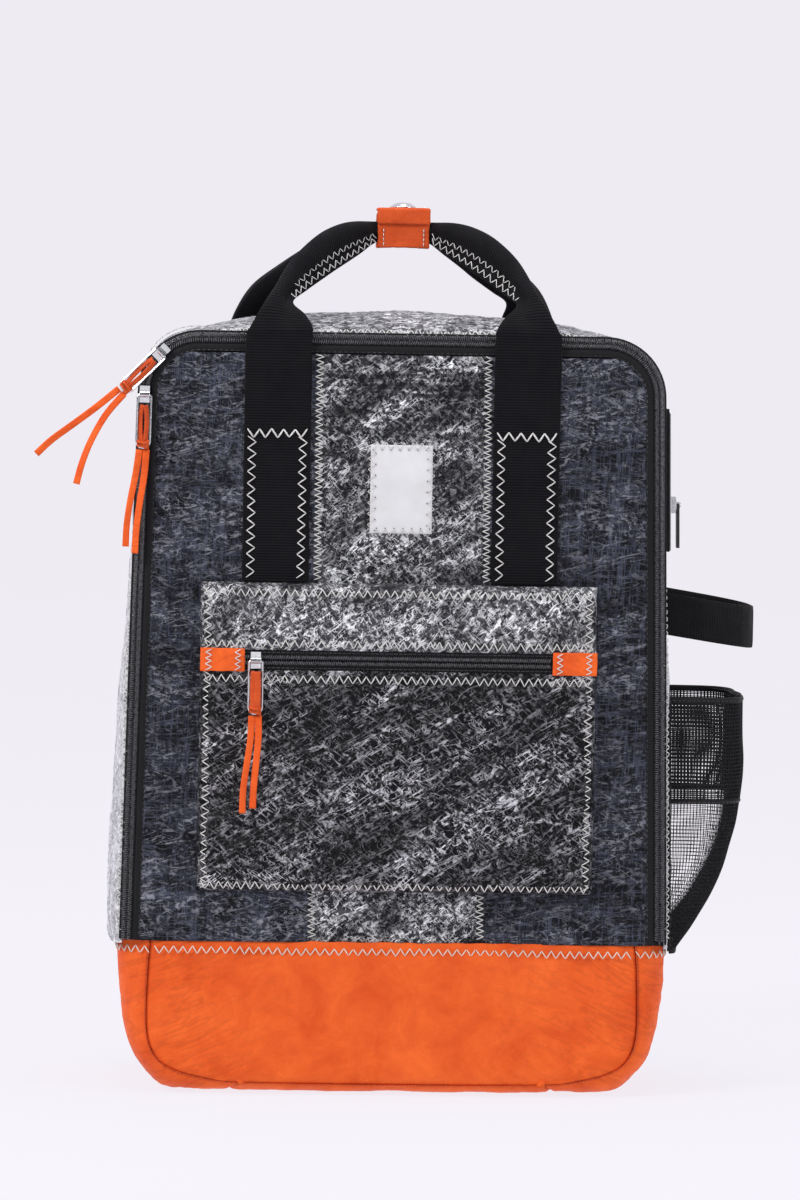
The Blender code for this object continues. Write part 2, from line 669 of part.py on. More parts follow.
# ---------------------------------------------------------------- right side
def side_profile(half_depth, bulge, z, drop=0.0, count=12):
    """Points of a boxy bow round the bag's right side at height z."""
    power = 3.2
    points = []
    for i in range(count + 1):
        angle = math.pi * i / count - math.pi / 2
        y = half_depth * math.copysign(abs(math.sin(angle)) ** (2 / power), math.sin(angle))
        out = abs(math.cos(angle)) ** (2 / power)
        points.append(Vector((edge_x(z) + GAP + 0.0002 + bulge * out, y, z - drop * out)))
    return points


def net_bulge(z):
    """How far the net stands out: it falls in towards its foot."""
    share = (z - NET_LOW) / (CUFF_TOP - NET_LOW)
    return 0.006 + (NET_BULGE - 0.006) * (1 - (1 - share) ** 2.6)


def build_bottle_side():
    """The net pocket, its doubled cuff and the elastic that goes round a bottle."""
    levels = 6
    low = [NET_LOW + (CUFF_LOW - GAP - NET_LOW) * i / levels for i in range(levels + 1)]
    shell("mesh_pocket", [side_profile(NET_HALF_DEPTH, net_bulge(z), z) for z in low],
          NET_WALL, "net")
    high = [CUFF_LOW + (CUFF_TOP - CUFF_LOW) * i / 3 for i in range(4)]
    shell("mesh_pocket_cuff", [side_profile(NET_HALF_DEPTH, net_bulge(z), z) for z in high],
          CUFF_WALL, "net")
    half = BOTTLE_STRAP_WIDTH / 2
    rows = [BOTTLE_STRAP_Z - half, BOTTLE_STRAP_Z + half]
    shell("bottle_strap",
          [side_profile(BOTTLE_STRAP_HALF_DEPTH, BOTTLE_STRAP_BULGE, z, BOTTLE_STRAP_DROP)
           for z in rows], WEBBING, "webbing")


def build_side_zip():
    """The short zip on the right side, above the bottle strap."""
    out = Vector((math.cos(TAPER), 0, math.sin(TAPER)))
    layers = (("side_zip_tape", SIDE_ZIP_TAPE, TAPE, GAP),
              ("side_zip_coil", POCKET_COIL_HEIGHT, POCKET_COIL_RISE, GAP * 2 + TAPE))
    for name, width, thick, lift in layers:
        route = [Vector((edge_x(z), SIDE_ZIP_Y, z)) + out * (lift + thick / 2)
                 for z in (SIDE_ZIP_LOW, SIDE_ZIP_TOP)]
        strap(name, route, lambda share: out, lambda share, w=width, t=thick: (w, t), "zip_black")
    rise = GAP * 3 + TAPE + POCKET_COIL_RISE + WIRE_RISE
    place = Vector((edge_x(SIDE_SLIDER_Z), SIDE_ZIP_Y, SIDE_SLIDER_Z)) + out * rise
    down = Vector((math.sin(TAPER), 0, -math.cos(TAPER)))
    frame = local_frame(place, down, out)
    moves = empty("side_zip_slide_axis", place)
    slider("side_zip_slider", frame, moves)
    turn = empty("side_zip_pull_axis", place, moves)
    bar, length = WIRE / 2, SIDE_PULL_LENGTH
    hook = SLIDER_WIDTH / 2 + GAP
    rim = hook + SIDE_PULL_RIM
    mouth = SLIDER_LENGTH / 2 + GAP
    outline = [(-bar, -rim), (length, -rim), (length, rim), (-bar, rim), (-bar, hook),
               (mouth, hook), (mouth, -hook), (-bar, -hook)]
    rings = [[frame @ Vector((x, y, z)) for x, y in outline] for z in (-bar, bar)]
    loft("side_zip_pull", rings, "plastic", turn, frame)


# ---------------------------------------------------------------- carrying side
def build_strap_side(side, name):
    """A padded shoulder strap, its webbing, ladder lock and the wing it is anchored to."""
    face = BACK_Y + 2 * GAP + BACK_PANEL
    sewn = face + WEBBING + GAP + STRAP_THICK / 2
    knee = face + PAD_THICK + GAP + STRAP_THICK / 2
    route = smooth_route([
        (side * 0.052, sewn, YOKE_TOP - 0.004),
        (side * 0.053, sewn + 0.001, YOKE_TOP - 0.026),
        (side * 0.056, knee + 0.010, YOKE_TOP - 0.053),
        (side * 0.064, knee + 0.026, YOKE_TOP - 0.098),
        (side * 0.076, knee + 0.032, YOKE_TOP - 0.158),
        (side * 0.090, knee + 0.026, YOKE_TOP - 0.213),
        (side * 0.102, knee + 0.016, YOKE_TOP - 0.248),
    ], 2)
    back = Vector((0, 1, 0))
    anchor = Vector((side * (edge_x(ANCHOR_Z) - ANCHOR_INSET), face + WEBBING / 2, ANCHOR_Z))
    down = (anchor - route[-1]).normalized()
    last = route[-1] + down * 0.010
    route.append(last)
    strap("shoulder_strap_" + name, route, lambda share: back,
          lambda share: (STRAP_WIDTH - 0.028 * max(share - 0.7, 0) / 0.3,
                         STRAP_THICK * (1 - 0.45 * max(share - 0.8, 0) / 0.2)),
          "pad", sides=8)
    lock_top = last + down * GAP
    lock_end = lock_top + down * LOCK_LENGTH
    out = (back - down * back.dot(down)).normalized()
    frame = local_frame((lock_top + lock_end) / 2, down, out)
    length, width = LOCK_LENGTH / 2, LOCK_WIDTH / 2
    rim = LOCK_RIM
    slots = ((-length + rim, -LOCK_BAR / 2), (LOCK_BAR / 2, length - rim))
    outline = [(-length, -width), (length, -width), (length, width), (-length, width)]
    rings = [[frame @ Vector((x, y, z)) for x, y in outline]
             for z in (-LOCK_THICK / 2, LOCK_THICK / 2)]
    lock = loft("ladder_lock_" + name, rings, "plastic", None, frame)
    for i, (near, far) in enumerate(slots):
        cut = [(near, -width + rim), (far, -width + rim), (far, width - rim), (near, width - rim)]
        rings = [[frame @ Vector((x, y, z)) for x, y in cut] for z in (-LOCK_THICK, LOCK_THICK)]
        cutter = loft(f"lock_slot_{name}_{i}", rings, "plastic", None, frame)
        cutter.hide_render = True
        cutter.display_type = "WIRE"
        hole = lock.modifiers.new("slot", "BOOLEAN")
        hole.object = cutter
    low, high = ANCHOR_Z - WING_HALF, ANCHOR_Z + WING_HALF
    wing = [(side * (edge_x(low) - 0.002), low), (side * (edge_x(high) - 0.002), high),
            (anchor.x - side * 0.014, high - 0.004), (anchor.x - side * 0.020, low + 0.003)]
    prism("strap_wing_" + name, wing, face, face + WEBBING, "sailcloth_dark")
    start = anchor + back * (WEBBING + GAP)
    lower_end = lock_end + down * GAP
    route = [start, start + (lower_end - start) * 0.5, lower_end]
    strap("lower_webbing_" + name, route, lambda share: back,
          lambda share: (LOWER_WIDTH, WEBBING), "webbing")


# ---------------------------------------------------------------- assembly
def clear_scene():
    for found in list(bpy.data.objects):
        bpy.data.objects.remove(found, do_unlink=True)


def build():
    clear_scene()
    flap = empty("flap_axis", HINGE)
    build_body()
    build_main_zip(flap)
    build_flap(flap)
    build_pocket(flap)
    build_handles(flap)
    build_wrap(flap)
    build_pulls(flap)
    build_bottle_side()
    build_side_zip()
    for side, name in ((-1, "left"), (1, "right")):
        build_strap_side(side, name)
    bpy.context.view_layer.update()


build()
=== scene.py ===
"""Looks of the zip-front daypack: sailcloth, nubuck base, webbing handles, net bottle pocket.

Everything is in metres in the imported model's frame: +Z up, -Y out of the front, +X towards the
bottle pocket. Pieces replace the CAD nodes they stand for and ride on the CAD bodies.
"""
import math
import random

import bmesh
import bpy
from mathutils import Matrix, Vector, noise


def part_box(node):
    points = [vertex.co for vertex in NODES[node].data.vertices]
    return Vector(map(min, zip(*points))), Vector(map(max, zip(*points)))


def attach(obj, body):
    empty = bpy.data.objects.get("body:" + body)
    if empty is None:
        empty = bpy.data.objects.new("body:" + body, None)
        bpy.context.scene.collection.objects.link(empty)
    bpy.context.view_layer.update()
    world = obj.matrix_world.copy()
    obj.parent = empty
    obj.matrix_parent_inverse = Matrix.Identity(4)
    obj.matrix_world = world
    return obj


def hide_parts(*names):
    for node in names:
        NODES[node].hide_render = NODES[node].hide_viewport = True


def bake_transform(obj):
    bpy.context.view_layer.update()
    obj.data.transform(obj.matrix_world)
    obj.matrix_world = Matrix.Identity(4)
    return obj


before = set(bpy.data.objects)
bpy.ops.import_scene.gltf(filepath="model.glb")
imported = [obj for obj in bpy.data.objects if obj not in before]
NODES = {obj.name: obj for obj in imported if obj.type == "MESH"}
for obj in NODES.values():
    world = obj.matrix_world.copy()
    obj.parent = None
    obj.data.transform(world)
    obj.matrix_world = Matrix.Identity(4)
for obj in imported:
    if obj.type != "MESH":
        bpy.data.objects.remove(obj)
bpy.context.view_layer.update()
random.seed(7)

# ---------------------------------------------------------------- sizes shared with the CAD
GAP = 0.0003
HEIGHT = 0.460
HALF_BASE = 0.168
SLOPE = 0.0195652             # how much the half width narrows per metre of height
TOP_RADIUS = 0.038
FRONT = -0.0700
BACK = 0.0700
LEATHER_TOP = 0.092
FLAP_LOW = LEATHER_TOP + GAP
CLOTH_FACE = -0.0716
COIL_BODY = (0.0023, 0.0052)  # insets of the two rows of the main zip
COIL_FLAP = (0.0055, 0.0084)
BINDING = (0.0087, 0.0140)
PANEL_IN = 0.0143
SEAM_X = 0.0505
POCKET_HALF = 0.119
POCKET_LOW = 0.123
POCKET_TOP = 0.3085
POCKET_FACE = -0.0809
POCKET_ZIP_Z = 0.2625
POCKET_ZIP_HALF = 0.006
TAB_WIDTH = 0.027
LEG_X = 0.0747
REAR_LEG_X = 0.083
LEG_FREE = 0.062
GRIP_Z = 0.521
GRIP_Y = 0.006
GRIP_HEIGHT = 0.018
GRIP_THICK = 0.007
WEBBING = 0.0016
WEBBING_WIDTH = 0.040
WRAP_X = 0.0018
WRAP_WIDTH = 0.032
PANEL_BACK = 0.0733           # rear face of the back panel
YOKE_TOP = 0.438
NET_LOW = 0.088
CUFF_LOW = 0.178
CUFF_TOP = 0.241
NET_HALF_DEPTH = 0.058
NET_BULGE = 0.049


def edge_x(z, inset=0.0):
    """Half the bag's width at height z, inset from its outer face."""
    return HALF_BASE - z * SLOPE - inset * math.hypot(1, SLOPE)


def side_x(z, inset):
    """Half width at height z inside the arch at that inset, round top corners and all."""
    middle = HEIGHT - TOP_RADIUS
    if z <= middle:
        return edge_x(z, inset)
    reach = TOP_RADIUS - inset
    return edge_x(middle, TOP_RADIUS) + math.sqrt(max(reach ** 2 - (z - middle) ** 2, 0))


def spaced(points, step, cyclic=False):
    """The same line with points about step apart."""
    points = [Vector(p) for p in points]
    if cyclic:
        points = points + [points[0]]
    lengths = [0.0]
    for a, b in zip(points, points[1:]):
        lengths.append(lengths[-1] + (b - a).length)
    count = max(int(round(lengths[-1] / step)), 2)
    made, at = [], 0
    for i in range(count if cyclic else count + 1):
        want = lengths[-1] * i / count
        while at < len(points) - 2 and lengths[at + 1] < want:
            at += 1
        span = lengths[at + 1] - lengths[at] or 1
        made.append(points[at].lerp(points[at + 1], min((want - lengths[at]) / span, 1)))
    return made


def arch(inset, low, y, step=0.0015):
    """Up the left side, over the top and down the right side, at depth y."""
    middle = HEIGHT - TOP_RADIUS
    centre, reach = edge_x(middle, TOP_RADIUS), TOP_RADIUS - inset
    line = [Vector((-edge_x(low, inset), y, low)), Vector((-edge_x(middle, inset), y, middle))]
    for i in range(1, 25):
        turn = math.pi - math.pi / 2 * i / 24
        line.append(Vector((-centre + reach * math.cos(turn), y,
                            middle + reach * math.sin(turn))))
    return spaced(line + [Vector((-p.x, p.y, p.z)) for p in reversed(line)], step)


def smooth_line(points, steps):
    """A Catmull-Rom curve through the points, as in the CAD."""
    points = [Vector(p) for p in points]
    ends = [points[0] * 2 - points[1]] + points + [points[-1] * 2 - points[-2]]
    route = []
    for a, b, c, d in zip(ends, ends[1:], ends[2:], ends[3:]):
        for i in range(steps):
            t = i / steps
            route.append(0.5 * (2 * b + (c - a) * t + (2 * a - 5 * b + 4 * c - d) * t ** 2
                                + (3 * b - a - 3 * c + d) * t ** 3))
    return route + [points[-1]]


# ---------------------------------------------------------------- camera, light and floor
def aim(obj, target):
    obj.rotation_euler = (Vector(target) - obj.location).to_track_quat("-Z", "Y").to_euler()


def build_stage():
    """The camera at the photograph's angle, a pale sweep to stand on and soft studio light."""
    scene = bpy.context.scene
    scene.view_settings.view_transform = "Standard"
    look_at = Vector((0.0005, FRONT, 0.2990))
    distance, left, above, roll = 3.4, 2.9, 3.0, 1.0
    turn, rise = math.radians(left), math.radians(above)
    data = bpy.data.cameras.new("camera")
    camera = bpy.data.objects.new("camera", data)
    bpy.context.collection.objects.link(camera)
    away = Vector((-math.sin(turn) * math.cos(rise), -math.cos(turn) * math.cos(rise),
                   math.sin(rise)))
    camera.location = look_at + away * distance
    facing = (-away).to_track_quat("-Z", "Y")
    camera.rotation_euler = (facing @ Matrix.Rotation(math.radians(roll), 3, "Z")
                             .to_quaternion()).to_euler()
    data.sensor_width = 36
    data.lens = 36 * distance / 0.720
    scene.camera = camera

    world = bpy.data.worlds.new("studio")
    world.use_nodes = True
    nodes, links = world.node_tree.nodes, world.node_tree.links
    sky = nodes["Background"]
    toward = nodes.new("ShaderNodeSeparateXYZ")
    links.new(nodes.new("ShaderNodeTexCoord").outputs["Generated"], toward.inputs[0])
    shade = nodes.new("ShaderNodeMapRange")
    shade.interpolation_type = "SMOOTHSTEP"
    for socket, value in ((1, -0.55), (2, 0.25), (3, 0.05), (4, 0.80)):
        shade.inputs[socket].default_value = value
    links.new(toward.outputs["Y"], shade.inputs[0])
    links.new(shade.outputs[0], sky.inputs["Strength"])
    sky.inputs["Color"].default_value = (0.93, 0.92, 1.0, 1)
    scene.world = world
    for name, place, size, power, target in (
            ("key", (-1.7, -1.5, 1.9), 1.0, 44, (0, 0, 0.28)),
            ("fill", (2.1, -1.5, 1.2), 1.2, 22, (0, 0, 0.25)),
            ("crown", (0.1, -0.2, 2.3), 1.2, 20, (0, 0, 0.3)),
            ("lift", (-0.2, -2.6, 0.9), 1.6, 6, (0, 0, 0.2))):
        light = bpy.data.lights.new(name, "AREA")
        light.shape = "DISK"
        light.size = size
        light.energy = power
        light.color = (1.0, 0.985, 0.97) if name == "key" else (0.96, 0.97, 1.0)
        lamp = bpy.data.objects.new(name, light)
        bpy.context.collection.objects.link(lamp)
        lamp.location = place
        aim(lamp, target)

    rows = []
    for y, z in [(-8, 0), (-3, 0), (0, 0), (4.8, 0), (5.2, 0.05), (5.6, 0.22), (5.9, 0.55),
                 (6.05, 1.0), (6.1, 2.0), (6.1, 6.0)]:
        rows.append([Vector((x, y, z - 0.0003)) for x in (-9, -2, 0, 2, 9)])
    sweep = sheet_mesh("floor_sweep", rows, floor_look())
    sweep.data.shade_smooth()


# ---------------------------------------------------------------- materials
class Look:
    """A procedural material and short ways to add its nodes."""

    def __init__(self, name, roughness=0.5, metallic=0.0, sheen=0.0, coat=0.0, specular=0.5):
        self.material = bpy.data.materials.new(name)
        self.material.use_nodes = True
        self.tree = self.material.node_tree
        self.shader = self.tree.nodes["Principled BSDF"]
        for socket, value in (("Roughness", roughness), ("Metallic", metallic),
                              ("Sheen Weight", sheen), ("Coat Weight", coat),
                              ("Specular IOR Level", specular)):
            self.shader.inputs[socket].default_value = value
        self.place = self.tree.nodes.new("ShaderNodeTexCoord")

    def node(self, kind, **values):
        made = self.tree.nodes.new(kind)
        for key, value in values.items():
            setattr(made, key, value)
        return made

    def feed(self, socket, value):
        if isinstance(value, bpy.types.NodeSocket):
            self.tree.links.new(value, socket)
        elif hasattr(value, "__len__") and len(value) == 3 and socket.type == "RGBA":
            socket.default_value = (*value, 1)
        else:
            socket.default_value = value

    def at(self, scale, turn=(0, 0, 0), uv=False):
        """Coordinates stretched by scale (per metre) after a turn in degrees."""
        spin = self.node("ShaderNodeMapping", vector_type="POINT")
        spin.inputs["Rotation"].default_value = [math.radians(a) for a in turn]
        self.feed(spin.inputs["Vector"], self.place.outputs["UV" if uv else "Object"])
        size = self.node("ShaderNodeMapping", vector_type="POINT")
        size.inputs["Scale"].default_value = scale if hasattr(scale, "__len__") else (scale,) * 3
        self.feed(size.inputs["Vector"], spin.outputs["Vector"])
        return size.outputs["Vector"]

    def noise(self, scale, detail=3, rough=0.55, bend=0.0, turn=(0, 0, 0), uv=False):
        made = self.node("ShaderNodeTexNoise")
        self.feed(made.inputs["Vector"], self.at(scale, turn, uv))
        made.inputs["Scale"].default_value = 1
        made.inputs["Detail"].default_value = detail
        made.inputs["Roughness"].default_value = rough
        made.inputs["Distortion"].default_value = bend
        return made.outputs[0]

    def cells(self, scale, turn=(0, 0, 0), uv=False, edge=False):
        made = self.node("ShaderNodeTexVoronoi",
                         feature="DISTANCE_TO_EDGE" if edge else "F1")
        self.feed(made.inputs["Vector"], self.at(scale, turn, uv))
        made.inputs["Scale"].default_value = 1
        return made.outputs["Distance"]

    def contour(self, value, half, level=0.5):
        """Thin lines where the value passes a level: creases, scrim threads."""
        return self.ramp(value, (level - half, 0.0), (level - half * 0.45, 1.0),
                         (level + half * 0.45, 1.0), (level + half, 0.0))

    def along(self, axis):
        """One coordinate in metres."""
        split = self.node("ShaderNodeSeparateXYZ")
        self.feed(split.inputs[0], self.place.outputs["Object"])
        return split.outputs[axis]

    def waves(self, scale, along="X", bend=0.0, uv=False):
        made = self.node("ShaderNodeTexWave", wave_type="BANDS", bands_direction=along)
        self.feed(made.inputs["Vector"], self.at(scale, uv=uv))
        made.inputs["Scale"].default_value = 1
        made.inputs["Distortion"].default_value = bend
        return made.outputs["Fac"]

    def ramp(self, value, *stops):
        made = self.node("ShaderNodeValToRGB")
        band = made.color_ramp.elements
        for i, (where, shade) in enumerate(stops):
            stop = band[i] if i < 2 else band.new(where)
            stop.position = where
            stop.color = (*shade, 1) if hasattr(shade, "__len__") else (shade, shade, shade, 1)
        self.feed(made.inputs["Fac"], value)
        return made.outputs["Color"]

    def sum(self, how, a, b, clamp=False):
        made = self.node("ShaderNodeMath", operation=how, use_clamp=clamp)
        self.feed(made.inputs[0], a)
        self.feed(made.inputs[1], b)
        return made.outputs[0]

    def mix(self, share, a, b, how="MIX"):
        made = self.node("ShaderNodeMix", data_type="RGBA", blend_type=how)
        self.feed(made.inputs["Factor"], share)
        self.feed(made.inputs["A"], a)
        self.feed(made.inputs["B"], b)
        return made.outputs["Result"]

    def done(self, colour, rough=None, bumps=()):
        """colour, a roughness value and (height, depth in metres, strength) bumps."""
        self.feed(self.shader.inputs["Base Color"], colour)
        if rough is not None:
            self.feed(self.shader.inputs["Roughness"], rough)
        normal = None
        for height, depth, strength in bumps:
            made = self.node("ShaderNodeBump")
            made.inputs["Distance"].default_value = depth
            made.inputs["Strength"].default_value = strength
            self.feed(made.inputs["Height"], height)
            if normal:
                self.feed(made.inputs["Normal"], normal)
            normal = made.outputs["Normal"]
        if normal:
            self.feed(self.shader.inputs["Normal"], normal)
        return self.material


def floor_look():
    look = Look("studio_sweep", roughness=0.9, specular=0.0)
    tint = look.ramp(look.noise(1.5, 2), (0.3, (0.088, 0.085, 0.092)), (0.7, (0.094, 0.091, 0.098)))
    look.shader.inputs["Emission Color"].default_value = (0.896, 0.871, 0.93, 1)
    look.shader.inputs["Emission Strength"].default_value = 0.912
    return look.done(tint, bumps=[(look.noise(300, 2), 0.0002, 0.2)])


def sailcloth(name, dark, middle, light, crinkle, hatch, tilt=36, stretch=2.2, rate=170,
              width=0.045, fill=0.0, roughness=0.36, streaks=0.0, shade_top=0.0):
    """Laminate sailcloth: painted highlights along the crinkle lines on a dark ground, scrim
    threads, and painted light and shade of broad swells.
    """
    look = Look(name, roughness=roughness, specular=0.14)
    # Painted light and shade of broad swells in the cloth: a stretched noise that lightens the
    # ground and lets more painted highlights through where it is high.
    broad = (rate * 0.11, rate * 0.11, rate * stretch * 0.22)
    painted_swell_shading = look.ramp(look.noise(broad, 4, 0.62, 0.7, turn=(0, tilt * 0.8, 0)),
                        (0.40 - fill, 0.0), (0.60 - fill, 1.0))
    clouds = look.ramp(look.noise(62, 5, 0.68, 0.5), (0.36, 0.0), (0.66, 1.0))
    across = look.contour(look.noise((16, 16, 250), 3, 0.6, 0.25, turn=(0, 1.5, 0)), 0.035)
    upright = look.contour(look.noise((250, 250, 16), 3, 0.6, 0.25, turn=(0, -2.0, 0)), 0.035)
    scrim = look.sum("MAXIMUM", across, upright)
    shape = (rate * 0.42, rate * 0.42, rate * stretch)
    rising = look.contour(look.noise(shape, 2, 0.5, 0.9, turn=(0, tilt, 0)), width, 0.53)
    falling = look.contour(look.noise(shape, 2, 0.5, 0.9, turn=(0, -tilt - 8, 8)), width, 0.50)
    small = look.contour(look.noise(rate * 2.1, 2, 0.5, 1.2), width, 0.52)
    shards = look.sum("MAXIMUM", rising, look.sum("MULTIPLY", falling, 0.7))
    shards = look.sum("MAXIMUM", shards, look.sum("MULTIPLY", small, 0.6))
    broken = look.ramp(look.noise(290, 3, 0.6, 0.6), (0.42, 0.10), (0.56, 1.0))
    # Painted highlights: the crinkle lines, broken up and fewer where the painted swell shade is
    # dark; the ground takes cloud tone darkened by the same painted swell shade.
    cover = look.sum("ADD", look.sum("MULTIPLY", painted_swell_shading, 0.80), 0.20)
    painted_glints = look.sum("MULTIPLY", look.sum("MULTIPLY", shards, broken), cover)
    haze = look.sum("MULTIPLY", look.sum("MULTIPLY", clouds, painted_swell_shading), 0.9)
    ground = look.mix(haze, dark, middle)
    ground = look.mix(look.sum("MULTIPLY", look.sum("MULTIPLY", scrim, clouds), hatch), ground,
                      [c * 2.6 for c in middle])
    # The painted highlights are mixed into the base colour towards light.
    colour = look.mix(look.sum("MULTIPLY", painted_glints, crinkle), ground, light)
    if streaks:
        drawn = look.ramp(look.noise((9, 9, 190), 3, 0.6, 0.3), (0.46, 0.0), (0.60, 1.0))
        upper = look.ramp(look.along("Z"), (0.330, 0.0), (0.425, streaks))
        colour = look.mix(look.sum("MULTIPLY", drawn, upper), colour, dark)
    if shade_top:
        upper = look.ramp(look.along("Z"), (0.425, 0.0), (0.462, shade_top))
        mottle = look.ramp(look.noise(230, 4, 0.7, 0.6), (0.45, 1.0), (0.54, 0.05))
        colour = look.mix(look.sum("MULTIPLY", upper, mottle), colour, [c * 0.3 for c in dark])
    rough = look.ramp(look.noise(160, 4, 0.7), (0.3, roughness - 0.10), (0.75, roughness + 0.18))
    return look.done(colour, rough, [(scrim, 0.00012, 0.4), (shards, 0.0004, 0.6),
                                     (look.noise(420, 5, 0.7, 0.8), 0.0006, 0.6)])


def leather(name, low, high, nap_and_crease_shade):
    """Nubuck: mottled colour, fine nap, pores, painted shade in the creases towards the two ends
    and faint scuffs.
    """
    look = Look(name, roughness=0.70, sheen=0.05, specular=0.2)
    mottle = look.noise(38, 6, 0.68, 0.4)
    colour = look.mix(look.ramp(mottle, (0.32, 0.0), (0.68, 1.0)), low, high)
    nap = look.noise(900, 4, 0.7)
    colour = look.mix(look.ramp(nap, (0.30, 0.16), (0.60, 0.0)), colour, nap_and_crease_shade)
    # Painted shade in the creases: darker lines along drawn creases, stronger towards the two ends;
    # the same darker colour also tones the fine nap.
    for side in (-1, 1):
        end = look.ramp(look.sum("MULTIPLY", look.along("X"), side), (0.050, 0.0), (0.125, 0.24))
        drawn = look.noise((22, 22, 105), 3, 0.55, 0.8, turn=(0, -side * 24, 0))
        folds = look.sum("MULTIPLY", look.contour(drawn, 0.045, 0.48), end)
        colour = look.mix(folds, colour, nap_and_crease_shade)
    scuffs = look.ramp(look.noise((60, 60, 260), 4, 0.7, 0.6, turn=(0, 24, 0)), (0.62, 0.0),
                       (0.78, 0.35))
    colour = look.mix(scuffs, colour, [min(c * 1.25 + 0.02, 1) for c in high])
    rough = look.ramp(look.noise(120, 4), (0.3, 0.55), (0.7, 0.78))
    pores = look.cells(1300, edge=False)
    return look.done(colour, rough, [(nap, 0.00022, 0.55), (pores, 0.0001, 0.35),
                                     (look.noise(150, 4, 0.6, 0.5), 0.0006, 0.35)])


def webbing_look(name, low, high, pitch=0.00165):
    """Ribbed webbing: ribs across the strip and yarns along it, from the strip's own lengths."""
    look = Look(name, roughness=0.75, sheen=0.03, specular=0.12)
    turns = 2 * math.pi
    ribs = look.waves((0, turns / pitch / 20, 0), "Y", 0.15, uv=True)
    yarns = look.waves((turns / 0.0011 / 20, 0, 0), "X", 0.35, uv=True)
    fuzz = look.noise((500, 1400, 1), 3, 0.7, uv=True)
    tone = look.sum("MULTIPLY", look.sum("MULTIPLY", ribs, look.sum("ADD", yarns, 0.35)),
                    look.sum("ADD", fuzz, 0.35))
    colour = look.mix(look.ramp(tone, (0.10, 0.0), (0.85, 1.0)), low, high)
    rough = look.ramp(look.noise(90, 3), (0.3, 0.62), (0.7, 0.82))
    return look.done(colour, rough, [(ribs, 0.0003, 0.5), (yarns, 0.0001, 0.4),
                                     (fuzz, 0.0001, 0.4)])


def weave_look(name, low, high, pitch, roughness=0.7, depth=0.00012, sheen=0.15):
    """Plain weave in the object's own frame, for tapes, lining and padding covers."""
    look = Look(name, roughness=roughness, sheen=sheen * 0.3, specular=0.2)
    rate = 2 * math.pi / pitch / 20
    over = look.waves((rate, 0, 0), "X", 0.4)
    deep = look.waves((0, rate, 0), "Y", 0.4)
    up = look.waves((0, 0, rate), "Z", 0.4)
    cross = look.sum("MULTIPLY", look.sum("MAXIMUM", over, deep), up)
    cloud = look.noise(60, 4, 0.6)
    tone = look.sum("ADD", look.sum("MULTIPLY", cross, 0.6), look.sum("MULTIPLY", cloud, 0.4))
    colour = look.mix(look.ramp(tone, (0.2, 0.0), (0.8, 1.0)), low, high)
    rough = look.ramp(cloud, (0.3, roughness - 0.06), (0.7, roughness + 0.08))
    return look.done(colour, rough, [(cross, depth, 0.6), (look.noise(800, 3), 0.0001, 0.3)])


def spacer_look():
    """Black spacer mesh: small open cells over foam."""
    look = Look("spacer_mesh", roughness=0.85, sheen=0.08, specular=0.15)
    cells = look.cells(520)
    shade = look.ramp(cells, (0.18, (0.004, 0.004, 0.005)), (0.55, (0.030, 0.030, 0.034)))
    colour = look.mix(look.ramp(look.noise(30, 3), (0.3, 0.0), (0.7, 0.35)), shade,
                      (0.045, 0.045, 0.05))
    return look.done(colour, None, [(cells, 0.0005, 0.7), (look.noise(900, 2), 0.0001, 0.3)])


def metal_look():
    look = Look("polished_metal", roughness=0.2, metallic=1.0)
    haze = look.noise(300, 4, 0.7)
    scratch = look.noise((60, 1500, 1500), 3, 0.7, 0.3, turn=(20, 30, 0))
    colour = look.mix(look.ramp(haze, (0.3, 0.0), (0.7, 1.0)), (0.62, 0.62, 0.64),
                      (0.80, 0.80, 0.82))
    rough = look.ramp(scratch, (0.35, 0.14), (0.75, 0.34))
    return look.done(colour, rough, [(scratch, 0.00004, 0.3)])


def plastic_look():
    look = Look("moulded_plastic", roughness=0.42, specular=0.5)
    grain = look.noise(1600, 3, 0.6)
    colour = look.mix(look.ramp(look.noise(70, 3), (0.3, 0.0), (0.7, 1.0)), (0.010, 0.010, 0.012),
                      (0.022, 0.022, 0.025))
    return look.done(colour, look.ramp(grain, (0.3, 0.34), (0.7, 0.52)), [(grain, 0.00006, 0.5)])


def thread_look(name, low, high):
    look = Look(name, roughness=0.55, sheen=0.2, specular=0.4)
    twist = look.noise(2600, 2, 0.6)
    soil = look.noise(45, 3)
    colour = look.mix(look.ramp(twist, (0.35, 0.0), (0.65, 1.0)), low, high)
    colour = look.mix(look.ramp(soil, (0.45, 0.0), (0.75, 0.25)), colour, (0.35, 0.33, 0.30))
    return look.done(colour, look.ramp(twist, (0.3, 0.48), (0.7, 0.68)), [(twist, 0.0001, 0.6)])


def coil_look():
    look = Look("zip_coil", roughness=0.25, specular=0.7)
    # Painted highlights: noise lifts the black coil towards grey to stand in for glints on the
    # teeth; the same noise varies roughness and bump.
    glint_and_gloss_noise = look.noise(700, 3, 0.6)
    colour = look.mix(look.ramp(glint_and_gloss_noise, (0.35, 0.0), (0.7, 1.0)), (0.022, 0.022, 0.026),
                      (0.090, 0.090, 0.100))
    return look.done(colour, look.ramp(glint_and_gloss_noise, (0.3, 0.20), (0.7, 0.40)), [(glint_and_gloss_noise, 0.00005, 0.4)])


